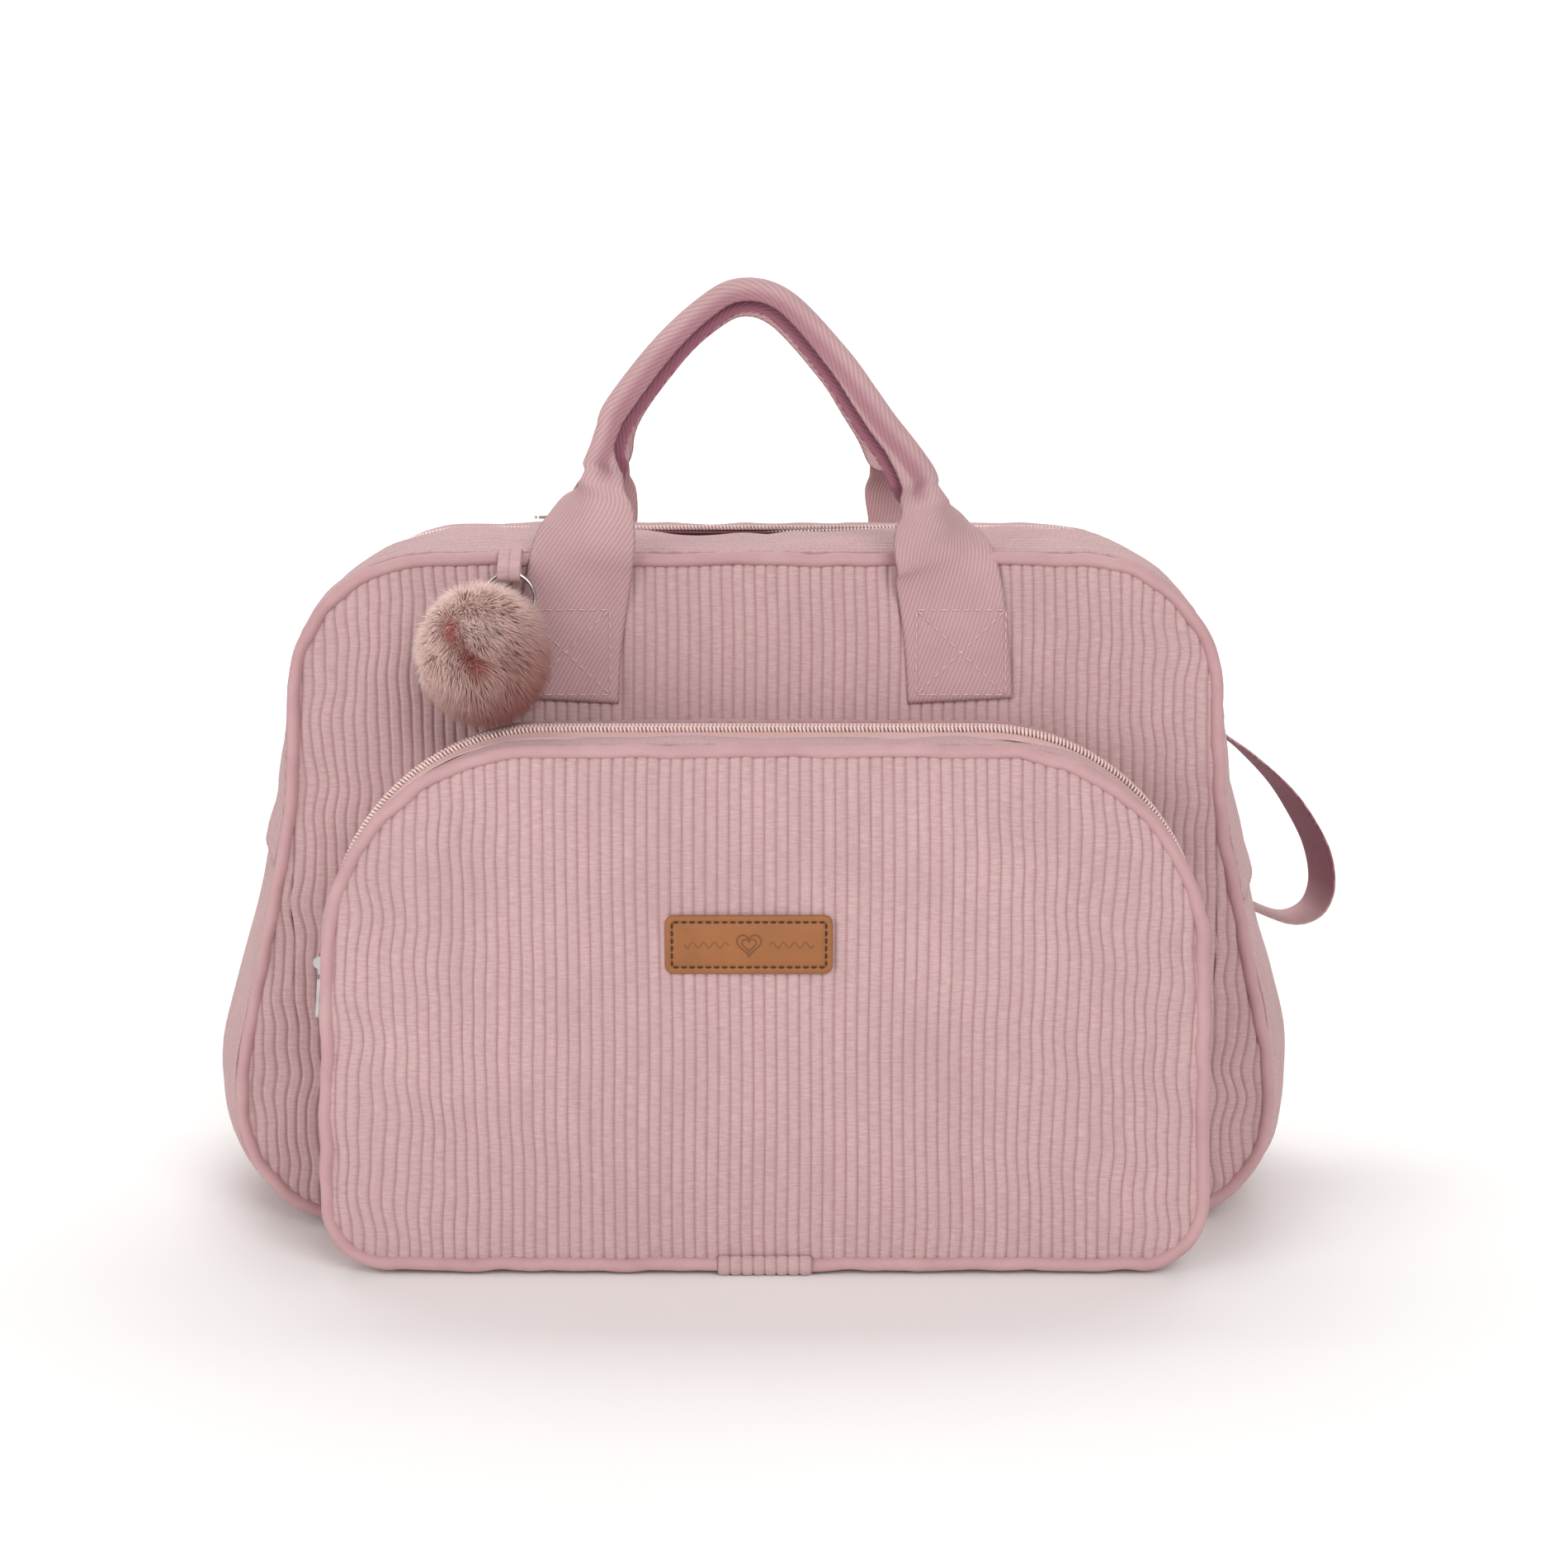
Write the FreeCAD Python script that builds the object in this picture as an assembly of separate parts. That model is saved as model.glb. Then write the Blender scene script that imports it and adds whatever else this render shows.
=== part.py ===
import FreeCAD, Part
import math
import os
from FreeCAD import Vector

# Padded corduroy changing bag with a zipped front pocket, two webbing handles,
# a side loop and a pompom charm.  Millimetres; X along the width, Y from the
# front (-) to the back (+), Z up.  The origin is the centre of the base.

# ---- overall sizes
BODY_WIDTH = 404.0          # across the front panel at the hips
BODY_HEIGHT = 263.0         # base to the top piping
BODY_DEPTH = 150.0          # front panel to back panel
POCKET_DEPTH = 58.0         # front panel to pocket panel

# ---- layers of the wall, counted inwards from the outer face
FABRIC = 1.6                # corduroy
TAPE = 0.7                  # zip tape under the corduroy edge
FOAM = 2.4                  # padding sheet
LINING = 0.8                # inner cloth
PIPING_RADIUS = 2.5
SEAT_CUT = 0.5              # cloth flattened where the base rests

# ---- outline of the front and back panels
BASE_CORNER = 48.0
HIP_HEIGHT = 62.0
HIP_RADIUS = 100.0
WAIST_INSET = 21.5          # each side, from the hips to the waist
WAIST_DROP = 98.0           # from the top down to the waist
WAIST_RADIUS = 150.0
SHOULDER_INSET = 24.0       # each side, from the hips to the shoulder
SHOULDER_RADIUS = 56.0

# ---- how far the gusset swells at half the depth
HIP_BULGE = 14.0
WAIST_BULGE = 2.5
CROWN_BULGE = 5.5
SHOULDER_TUCK = 2.0

# ---- seam tabs over the ends of the main zip
LEFT_TAB_HEIGHT = 142.0
RIGHT_TAB_HEIGHT = 128.0
TAB_WIDTH = 34.0
TAB_TALL = 11.0
TAB_THICK = 2.4

# ---- main zip: plan of the opening, as half gaps along X
ZIP_SLIDER_X = -68.0
ZIP_GAP = [(-70.0, 0.0), (-60.0, 2.0), (-25.0, 5.5), (110.0, 6.0), (160.0, 3.0), (190.0, 2.0)]
COIL = 2.4                  # width of one row of coil
COIL_SUNK = 0.3             # pocket coil below the face of the cloth
ZIP_REVEAL = 5.5            # coil and bare tape between the gap and the cloth
TAPE_UNDER = 11.0           # where the tape ends under the cloth
LINING_CLEAR = 8.0          # lining stands back from the coil

# ---- front pocket
POCKET_X = 3.5
POCKET_MARGIN = 37.5        # each side, from the hips to the pocket
POCKET_TAPER = 3.1          # each side, from the base to the shoulder
POCKET_DROP = 65.0          # from the top of the body to the top of the pocket
POCKET_LIFT = 1.5           # pocket base above the resting surface
POCKET_BASE_CORNER = 26.0
POCKET_SHOULDER = 80.0
POCKET_FOAM = 2.0
POCKET_ZIP_REVEAL = 7.0
POCKET_ZIP_TAIL = 18.0      # zip carries on below the centre of the shoulder arc
POCKET_ZIP_BACK = 29.0      # zip centre behind the pocket panel
POCKET_SLIDER_ANGLE = 4.5   # slider at rest, degrees below the centre of the shoulder arc

# ---- leather label
LABEL_SIZE = (61.0, 1.4, 21.6)
LABEL_X = -2.3
LABEL_Z = 124.6
LABEL_CORNER = 2.5
LABEL_SEAM = 2.5            # stitch line in from the edge

# ---- webbing handles
WEBBING = 40.0
WEBBING_THICK = 1.8
HANDLE_SPREAD = 75.3        # each side, handle centre to the middle of a sewn end
HANDLE_END_DROP = 57.0      # top of the body down to the folded end
HANDLE_SEAM_DROP = 21.5     # top of the body down to the upper stitch line
HINGE_DROP = 1.1            # top of the body down to the bend line
HINGE_CLEAR = 0.4           # strap in front of the piping where it bends
HINGE_GAP = 1.4             # bare length below the bend line
HANDLE_START = 0.5          # moving strap above the bend line
HANDLE_LEAN = 0.17          # inward lean per unit of height
FRONT_HANDLE_X = 3.0
BACK_HANDLE_X = -1.5
# across, above the top of the body, strap width in the arch's plane, depth in Y
FRONT_ARCH = [
    (-64.3, 12.0, 31.0, 3.5), (-61.6, 31.0, 19.0, 8.0), (-54.5, 51.7, 13.5, 12.0),
    (-37.0, 75.0, 13.0, 12.0), (-21.5, 90.5, 13.0, 12.0), (-8.5, 98.5, 14.0, 12.0),
    (7.0, 94.0, 13.0, 12.0), (26.0, 72.5, 13.0, 12.0), (36.5, 57.0, 15.0, 12.0),
    (47.0, 41.0, 18.0, 10.0), (60.5, 16.0, 28.0, 4.0)]
BACK_ARCH = [
    (-65.0, 12.0, 30.0, 3.5), (-62.5, 25.0, 21.0, 8.0), (-55.5, 48.0, 13.5, 12.0),
    (-36.0, 75.5, 13.0, 12.0), (-20.0, 91.0, 13.0, 12.0), (-4.6, 99.0, 13.5, 12.0),
    (12.3, 93.5, 13.0, 12.0), (33.5, 70.5, 13.0, 12.0), (44.0, 55.6, 14.0, 12.0),
    (56.8, 37.0, 17.0, 10.0), (63.0, 12.0, 30.0, 3.5)]
BEND_SPREAD = 71.0          # each side, strap centre at the bend line
THREAD = 0.5
STITCH = 3.0
STITCH_PITCH = 4.2

# ---- side loop on the right of the gusset
LOOP_WIDTH = 30.0
LOOP_THICK = 1.5
LOOP_Y = 40.0
LOOP_SEWN = 12.0            # sewn stretch at each end
LOOP_GAP = 3.5              # sewn stretch to the swinging loop
# outwards from the line between the two seams, below the top of the body
LOOP_PATH = [
    (2.7, 72.0), (14.2, 83.5), (24.3, 92.5), (35.8, 106.5), (42.4, 120.0), (46.4, 134.0),
    (45.9, 148.0), (41.2, 158.0), (34.2, 163.0), (26.0, 164.0), (15.8, 160.0), (4.2, 153.5)]

# ---- pompom charm
CHARM_X = -93.0
RING_RADIUS = 9.5           # to the middle of the wire
RING_WIRE = 0.75
RING_TURN = 1.4             # between the two turns of wire
RING_OUT = 8.0              # ring in front of the panel
RING_DROP = 7.1             # top of the body down to the top of the ring
CHARM_TAB_WIDTH = 9.0
EYE_RADIUS = 2.7
EYE_WALL = 0.7
POMPOM_HALF = (20.0, 19.0, 23.0)
POMPOM_OFFSET = (-10.5, -21.5, -26.9)   # from the top of the ring
POMPOM_LOOP = (4.0, 0.7)

# ---- zip sliders and pulls
SLIDER_LONG = 12.0
SLIDER_WIDE = 8.4
SLIDER_PLATE = 1.3
SLIDER_CLEAR = 0.35
PIN_RADIUS = 0.8
PIN_CLEAR = 0.3
PIN_HEIGHT = 2.6            # pin above the upper plate
EAR = 1.2
PULL_LONG = 22.0
PULL_WIDE = 6.0
PULL_THICK = 1.2
PULL_HANG = 4.0             # pocket pull stands off the upright by this angle
POST_AT = 4.6               # post between the coils, ahead of the middle of the slider
POST_LONG = 1.8
POST_WIDE = 1.4

BASE_BOARD = (300.0, 126.0, 3.0)

FAR = 900.0
HALF_DEPTH = BODY_DEPTH / 2
POCKET_FRONT = -HALF_DEPTH - POCKET_DEPTH
POCKET_TOP = BODY_HEIGHT - POCKET_DROP
POCKET_HALF = BODY_WIDTH / 2 - POCKET_MARGIN
POCKET_ZIP_Y = POCKET_FRONT + POCKET_ZIP_BACK
POCKET_ZIP_END = POCKET_TOP - POCKET_SHOULDER - POCKET_ZIP_TAIL
HINGE_OUT = PIPING_RADIUS + HINGE_CLEAR + WEBBING_THICK / 2


# ---- plain geometry helpers
def box(x0, x1, y0, y1, z0, z1):
    return Part.makeBox(x1 - x0, y1 - y0, z1 - z0, Vector(x0, y0, z0))


def above(z):
    return box(-FAR, FAR, -FAR, FAR, z, FAR)


def slab(y0, y1):
    return box(-FAR, FAR, y0, y1, -FAR, FAR)


def inset_corners(corners, inset):
    """Move each side of a counter-clockwise polygon inwards and refit the corner radii."""
    count = len(corners)
    moved = []
    for i in range(count):
        before, here, after = corners[i - 1], corners[i], corners[(i + 1) % count]
        d0 = Vector(here[0] - before[0], here[1] - before[1], 0).normalize()
        d1 = Vector(after[0] - here[0], after[1] - here[1], 0).normalize()
        turn = d0.x * d1.y - d0.y * d1.x
        n0 = Vector(-d0.y, d0.x, 0)
        n1 = Vector(-d1.y, d1.x, 0)
        mitre = (n0 + n1) * (inset / (1 + n0.dot(n1)))
        radius = here[2] - inset if turn > 0 else here[2] + inset
        moved.append((here[0] + mitre.x, here[1] + mitre.y, radius))
    return moved


def rounded_wire(corners, y):
    """Closed wire in the plane Y = y through (x, z, radius) corners."""
    count = len(corners)
    stops = []
    for i in range(count):
        before, here, after = corners[i - 1], corners[i], corners[(i + 1) % count]
        p = Vector(here[0], y, here[1])
        d0 = (p - Vector(before[0], y, before[1])).normalize()
        d1 = (Vector(after[0], y, after[1]) - p).normalize()
        half = d0.getAngle(d1) / 2
        reach = here[2] * math.tan(half)
        bisector = (d1 - d0).normalize()
        middle = p + bisector * (here[2] / math.cos(half) - here[2])
        stops.append((p - d0 * reach, middle, p + d1 * reach))
    edges = []
    for i in range(count):
        start, middle, end = stops[i]
        edges.append(Part.Arc(start, middle, end).toShape())
        edges.append(Part.LineSegment(end, stops[(i + 1) % count][0]).toShape())
    return Part.Wire(edges)


def arc_centre(corners, index):
    """Centre of the round that fits one corner of a convex polygon."""
    before, here, after = corners[index - 1], corners[index], corners[(index + 1) % len(corners)]
    p = Vector(here[0], 0, here[1])
    d0 = (p - Vector(before[0], 0, before[1])).normalize()
    d1 = (Vector(after[0], 0, after[1]) - p).normalize()
    return p + (d1 - d0).normalize() * (here[2] / math.cos(d0.getAngle(d1) / 2))


def mirrored(right, centre=0.0):
    """Counter-clockwise outline from its right-hand corners, listed from the bottom up."""
    left = [(centre - x, z, r) for x, z, r in reversed(right)]
    return [(centre + x, z, r) for x, z, r in right] + left


def prism(wire, depth):
    return Part.Face(wire).extrude(Vector(0, depth, 0))


def tube(path, radius):
    """Round tube that follows a closed wire."""
    edge = path.Edges[0]
    start = edge.valueAt(edge.FirstParameter)
    along = edge.tangentAt(edge.FirstParameter)
    ring = Part.Wire([Part.Circle(start, along, radius).toShape()])
    return path.makePipeShell([ring], True, False)


def rectangle(centre, across, deep, width, depth):
    a = across.normalize() * (width / 2)
    d = deep.normalize() * (depth / 2)
    return Part.makePolygon([centre - a - d, centre + a - d, centre + a + d, centre - a + d, centre - a - d])


def ruled(sections):
    return Part.makeLoft(sections, True, True)


def ellipsoid(half, centre):
    ball = Part.makeSphere(1.0)
    matrix = FreeCAD.Matrix()
    matrix.scale(Vector(*half))
    shaped = ball.transformGeometry(matrix)
    shaped.translate(centre)
    return shaped


# ---- main compartment
def body_corners(bulge):
    half = BODY_WIDTH / 2
    return mirrored([
        (half + HIP_BULGE * bulge, 0.0, BASE_CORNER),
        (half + HIP_BULGE * bulge, HIP_HEIGHT, HIP_RADIUS),
        (half - WAIST_INSET + WAIST_BULGE * bulge, BODY_HEIGHT - WAIST_DROP, WAIST_RADIUS),
        (half - SHOULDER_INSET - SHOULDER_TUCK * bulge, BODY_HEIGHT + CROWN_BULGE * bulge, SHOULDER_RADIUS)])


def lowered(corners):
    """The same outline with its bottom side a little below the resting surface."""
    return [(x, z - SEAT_CUT if z == 0 else z, r) for x, z, r in corners]


def body_solid(inset):
    stations = [(-HALF_DEPTH, 0.0), (0.0, 1.0), (HALF_DEPTH, 0.0)]
    wires = [rounded_wire(inset_corners(lowered(body_corners(bulge)), inset), y) for y, bulge in stations]
    return Part.makeLoft(wires, True, False)


def gusset_band(outer, inner):
    return outer.cut(inner).common(above(0))


def over_the_tabs():
    """Everything above the sloping line that joins the two seam tabs."""
    half = BODY_WIDTH / 2
    slope = (RIGHT_TAB_HEIGHT - LEFT_TAB_HEIGHT) / (2 * half)
    middle = (RIGHT_TAB_HEIGHT + LEFT_TAB_HEIGHT) / 2
    points = [Vector(-FAR, -FAR, middle - slope * FAR), Vector(FAR, -FAR, middle + slope * FAR),
              Vector(FAR, -FAR, FAR), Vector(-FAR, -FAR, FAR)]
    face = Part.Face(Part.makePolygon(points + points[:1]))
    return face.extrude(Vector(0, 2 * FAR, 0))


def zip_lane(side, near, far):
    """Upright prism beside the zip gap, between two distances from the gap's edge."""
    gaps = [(-FAR, 0.0)] + ZIP_GAP + [(FAR, ZIP_GAP[-1][1])]
    inner = [Vector(x, side * (gap + near), 0) for x, gap in gaps]
    outer = [Vector(x, side * (gap + far), 0) for x, gap in gaps]
    points = inner + outer[::-1]
    return Part.Face(Part.makePolygon(points + points[:1])).extrude(Vector(0, 0, FAR))


def panel(side, outline_inset, near, far, piping):
    """Flat sheet parallel to the front, between two depths behind the panel's face."""
    wire = rounded_wire(inset_corners(body_corners(0.0), outline_inset), 0.0)
    y0 = side * (HALF_DEPTH - near)
    sheet = prism(wire, -side * (far - near))
    sheet.translate(Vector(0, y0, 0))
    return sheet.cut(piping)


def body_piping(side):
    wire = rounded_wire(inset_corners(body_corners(0.0), PIPING_RADIUS), side * HALF_DEPTH)
    return tube(wire, PIPING_RADIUS)


def seam_tab(side, height, skin):
    band = skin.common(box(min(0, side * FAR), max(0, side * FAR), -TAB_WIDTH / 2, TAB_WIDTH / 2,
                           height - TAB_TALL / 2, height + TAB_TALL / 2))
    return band


def make_body():
    outer = body_solid(0.0)
    cloth_inside = body_solid(FABRIC)
    tape_inside = body_solid(FABRIC + TAPE)
    foam_inside = body_solid(FABRIC + FOAM)
    room = body_solid(FABRIC + FOAM + LINING)
    tab_outside = body_solid(-TAB_THICK)
    front_piping = body_piping(-1)
    back_piping = body_piping(1)
    pipings = front_piping.fuse(back_piping)
    upper = over_the_tabs()

    cloth = gusset_band(outer, cloth_inside).cut(pipings)
    cloth_top = cloth.common(upper)
    reach = BODY_DEPTH
    parts = {
        "front_piping": front_piping,
        "back_piping": back_piping,
        "lower_gusset": cloth.cut(upper),
        "top_gusset_front": cloth_top.common(zip_lane(-1, ZIP_REVEAL, reach)),
        "top_gusset_back": cloth_top.common(zip_lane(1, ZIP_REVEAL, reach)),
    }
    tape_band = cloth_inside.cut(tape_inside).common(upper)
    coil_band = outer.cut(tape_inside).common(upper)
    for name, side in (("front", -1), ("back", 1)):
        parts["main_zip_tape_" + name] = tape_band.common(zip_lane(side, COIL, TAPE_UNDER))
        parts["main_zip_coil_" + name] = coil_band.common(zip_lane(side, 0.0, COIL))
        parts[name + "_panel"] = panel(side, FABRIC, 0.0, FABRIC, pipings)
        parts["foam_" + name] = panel(side, FABRIC, FABRIC, FABRIC + FOAM, pipings)
    inner_half = HALF_DEPTH - FABRIC - FOAM
    foam_band = cloth_inside.cut(foam_inside).common(slab(-inner_half, inner_half))
    parts["foam_lower_gusset"] = foam_band.common(above(0)).cut(upper).cut(pipings)
    sack = foam_inside.common(slab(-inner_half, inner_half))
    hollow = room.common(slab(-inner_half + LINING, inner_half - LINING))
    mouth = zip_lane(-1, -LINING_CLEAR, LINING_CLEAR).fuse(zip_lane(1, -LINING_CLEAR, LINING_CLEAR))
    parts["lining"] = sack.cut(hollow).cut(mouth.common(upper))
    skin = tab_outside.cut(outer)
    parts["left_seam_tab"] = seam_tab(-1, LEFT_TAB_HEIGHT, skin)
    parts["right_seam_tab"] = seam_tab(1, RIGHT_TAB_HEIGHT, skin)
    floor = FABRIC + FOAM + LINING - SEAT_CUT
    long, wide, thick = BASE_BOARD
    board = box(-long / 2, long / 2, -wide / 2, wide / 2, floor, floor + thick)
    corners = [edge for edge in board.Edges if abs(edge.tangentAt(edge.FirstParameter).z) > 0.9]
    parts["base_board"] = board.makeFillet(20.0, corners)
    return parts, outer


# ---- front pocket
def pocket_corners():
    return mirrored([
        (POCKET_HALF, POCKET_LIFT, POCKET_BASE_CORNER),
        (POCKET_HALF - POCKET_TAPER, POCKET_TOP, POCKET_SHOULDER)], POCKET_X)


def pocket_shoulder_centre():
    """Centre of the arc round the upper left corner, which the pocket zip follows."""
    return arc_centre(pocket_corners(), 2)


def pocket_block(inset, y0, y1):
    block = prism(rounded_wire(inset_corners(pocket_corners(), inset), 0.0), y1 - y0)
    block.translate(Vector(0, y0, 0))
    return block


def pocket_band(outer_inset, inner_inset, y0, y1):
    return pocket_block(outer_inset, y0, y1).cut(pocket_block(inner_inset, y0, y1))


def make_pocket(front_piping):
    path = rounded_wire(inset_corners(pocket_corners(), PIPING_RADIUS), POCKET_FRONT)
    piping = tube(path, PIPING_RADIUS)
    back = -HALF_DEPTH
    cloth = pocket_band(0.0, FABRIC, POCKET_FRONT, back).cut(piping).cut(front_piping)
    upper = above(POCKET_ZIP_END)
    zip_y = POCKET_ZIP_Y
    parts = {
        "pocket_piping": piping,
        "pocket_lower_gusset": cloth.cut(upper),
        "pocket_strip_front": cloth.common(upper).common(slab(-FAR, zip_y - POCKET_ZIP_REVEAL)),
        "pocket_strip_back": cloth.common(upper).common(slab(zip_y + POCKET_ZIP_REVEAL, FAR)),
    }
    slider_z = pocket_shoulder_centre().z - POCKET_SHOULDER * math.sin(math.radians(POCKET_SLIDER_ANGLE))
    open_end = box(-FAR, POCKET_X, -FAR, FAR, -FAR, slider_z - POST_AT + POST_LONG)
    for name, side in (("front", -1), ("back", 1)):
        near, edge, far = [zip_y + side * d for d in (0.0, COIL, TAPE_UNDER)]
        tape = pocket_band(FABRIC, FABRIC + TAPE, min(edge, far), max(edge, far))
        coil = pocket_band(COIL_SUNK, FABRIC + TAPE, min(near, edge), max(near, edge))
        parts["pocket_zip_tape_" + name] = tape.common(upper)
        parts["pocket_zip_coil_" + name] = coil.common(upper).cut(open_end)
    front = POCKET_FRONT + FABRIC
    parts["pocket_panel"] = pocket_block(FABRIC, POCKET_FRONT, front).cut(piping)
    parts["pocket_foam"] = pocket_block(FABRIC, front, front + POCKET_FOAM).cut(piping)
    inner = FABRIC + TAPE + 0.1
    start = front + POCKET_FOAM
    lining = pocket_block(inner, start, back).cut(pocket_block(inner + LINING, start + LINING, back))
    slot = slab(zip_y - LINING_CLEAR, zip_y + LINING_CLEAR).common(upper)
    parts["pocket_lining"] = lining.cut(slot).cut(front_piping).cut(piping)
    wrap = PIPING_RADIUS + POCKET_LIFT
    tab = Part.makeCylinder(wrap, TAB_WIDTH, Vector(POCKET_X - TAB_WIDTH / 2, POCKET_FRONT, wrap), Vector(1, 0, 0))
    parts["pocket_seam_tab"] = tab.cut(piping).cut(pocket_block(0.0, POCKET_FRONT, back))
    return parts


# ---- label and thread
def stitch(start, end, face_out, size=STITCH):
    """One thread stitch lying on a face, centred between two points."""
    along = (end - start).normalize()
    across = along.cross(face_out).normalize()
    middle = (start + end) * 0.5 + face_out * (THREAD / 2)
    half = along * (size / 2)
    first = rectangle(middle - half, across, Vector(face_out), THREAD, THREAD)
    last = rectangle(middle + half, across, Vector(face_out), THREAD, THREAD)
    return ruled([first, last])


def stitch_line(start, end, face_out, pitch=STITCH_PITCH, size=STITCH):
    length = start.distanceToPoint(end)
    count = max(1, round(length / pitch))
    step = (end - start) * (1.0 / count)
    return [stitch(start + step * i, start + step * (i + 1), face_out, size) for i in range(count)]


def make_label():
    wide, thick, tall = LABEL_SIZE
    face = POCKET_FRONT - thick
    plate = box(LABEL_X - wide / 2, LABEL_X + wide / 2, face, POCKET_FRONT, LABEL_Z - tall / 2, LABEL_Z + tall / 2)
    corners = [edge for edge in plate.Edges if abs(edge.tangentAt(edge.FirstParameter).y) > 0.9]
    plate = plate.makeFillet(LABEL_CORNER, corners)
    half_wide = wide / 2 - LABEL_SEAM
    half_tall = tall / 2 - LABEL_SEAM
    ring = [Vector(LABEL_X + sx * half_wide, face, LABEL_Z + sz * half_tall)
            for sx, sz in ((-1, -1), (1, -1), (1, 1), (-1, 1))]
    out = Vector(0, -1, 0)
    thread = []
    for i in range(4):
        thread += stitch_line(ring[i], ring[(i + 1) % 4], out, 3.0, 1.9)
    return {"label": plate, "label_stitching": Part.makeCompound(thread)}


# ---- webbing handles
def bend_line(side):
    return Vector(0, side * (HALF_DEPTH + HINGE_OUT), BODY_HEIGHT - HINGE_DROP)


def handle_end(side, centre, leg):
    """Sewn end: flat on the panel, then lifted clear of the piping up to the bend line."""
    bend = bend_line(side)
    flat = side * (HALF_DEPTH + WEBBING_THICK / 2)
    top = bend.z - HINGE_GAP
    rows = [(HANDLE_SPREAD, flat, BODY_HEIGHT - HANDLE_END_DROP),
            (HANDLE_SPREAD - 0.8, flat, BODY_HEIGHT - HANDLE_SEAM_DROP + 3.5),
            (BEND_SPREAD + 1.0, bend.y, BODY_HEIGHT - HINGE_DROP - 5.5),
            (BEND_SPREAD, bend.y, top)]
    sections = [rectangle(Vector(centre + leg * x, y, z), Vector(1, 0, 0), Vector(0, 1, 0), WEBBING, WEBBING_THICK)
                for x, y, z in rows]
    return ruled(sections)


def handle_thread(side, centre, leg):
    """Box and cross of stitches on a sewn end."""
    face = side * (HALF_DEPTH + WEBBING_THICK)
    low = BODY_HEIGHT - HANDLE_END_DROP + 3.0
    high = BODY_HEIGHT - HANDLE_SEAM_DROP
    half = WEBBING / 2 - 3.0
    middle = centre + leg * HANDLE_SPREAD
    corner = [Vector(middle + sx * half, face, z) for sx, z in ((-1, low), (1, low), (1, high), (-1, high))]
    out = Vector(0, side, 0)
    thread = []
    for i in range(4):
        thread += stitch_line(corner[i], corner[(i + 1) % 4], out)
    inner = [c + (corner[(i + 2) % 4] - c) * 0.08 for i, c in enumerate(corner)]
    first = stitch_line(inner[0], inner[2], out)
    second = stitch_line(inner[1], inner[3], out)
    middle_of_second = len(second) // 2
    keep = [s for i, s in enumerate(second) if abs(i - middle_of_second + 0.5) > 1.0]
    return thread + first + keep


def handle_arch(side, centre, arch):
    bend = bend_line(side)
    start = bend.z + HANDLE_START

    def place(x, z):
        return Vector(centre + x, bend.y - side * (z - start) * HANDLE_LEAN, z)

    spots = [place(-BEND_SPREAD, start)] + [place(x, BODY_HEIGHT + up) for x, up, _, _ in arch]
    spots.append(place(BEND_SPREAD, start))
    sizes = [(WEBBING - 2.0, WEBBING_THICK)] + [(w, d) for _, _, w, d in arch] + [(WEBBING - 2.0, WEBBING_THICK)]
    sections = []
    for i, spot in enumerate(spots):
        across = Vector(1, 0, 0)
        if 0 < i < len(spots) - 1:
            way = spots[i + 1] - spots[i - 1]
            across = Vector(way.z, 0, -way.x)
        sections.append(rectangle(spot, across, Vector(0, 1, 0), *sizes[i]))
    return ruled(sections)


def make_handles():
    parts = {}
    for name, side, centre, arch in (("front", -1, FRONT_HANDLE_X, FRONT_ARCH), ("back", 1, BACK_HANDLE_X, BACK_ARCH)):
        ends = [handle_end(side, centre, leg) for leg in (-1, 1)]
        thread = handle_thread(side, centre, -1) + handle_thread(side, centre, 1)
        parts[name + "_handle_ends"] = Part.makeCompound(ends)
        parts[name + "_handle_stitching"] = Part.makeCompound(thread)
        parts[name + "_handle"] = handle_arch(side, centre, arch)
    return parts


# ---- side loop
def side_of(outer, drop):
    """X of the gusset's right side at the loop's depth, below the top of the body."""
    z = BODY_HEIGHT - drop
    reach = Part.LineSegment(Vector(0, LOOP_Y, z), Vector(FAR, LOOP_Y, z)).toShape()
    return reach.common(outer).BoundBox.XMax


def make_side_loop(outer):
    first, last = LOOP_PATH[0][1], LOOP_PATH[-1][1]
    high = side_of(outer, first)
    slope = (side_of(outer, last) - high) / (last - first)
    spots = [Vector(high + slope * (drop - first) + out, LOOP_Y, BODY_HEIGHT - drop) for out, drop in LOOP_PATH]

    def along(first, second, distance):
        return first + (second - first).normalize() * distance

    def band(points):
        sections = []
        for i, spot in enumerate(points):
            way = points[min(i + 1, len(points) - 1)] - points[max(i - 1, 0)]
            across = Vector(way.z, 0, -way.x)
            sections.append(rectangle(spot, Vector(0, 1, 0), across, LOOP_WIDTH, LOOP_THICK))
        return ruled(sections)

    top = [along(spots[0], spots[1], -4.0), along(spots[0], spots[1], LOOP_SEWN)]
    bottom = [along(spots[-1], spots[-2], LOOP_SEWN), along(spots[-1], spots[-2], -4.0)]
    ends = [band(top).cut(outer), band(bottom).cut(outer)]
    free = LOOP_SEWN + LOOP_GAP
    loop = band([along(spots[0], spots[1], free)] + spots[1:-1] + [along(spots[-1], spots[-2], free)])
    return {"side_loop_ends": Part.makeCompound(ends), "side_loop": loop}


# ---- pompom charm
def ring_top():
    return Vector(CHARM_X, -HALF_DEPTH - RING_OUT, BODY_HEIGHT - RING_DROP)


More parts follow.
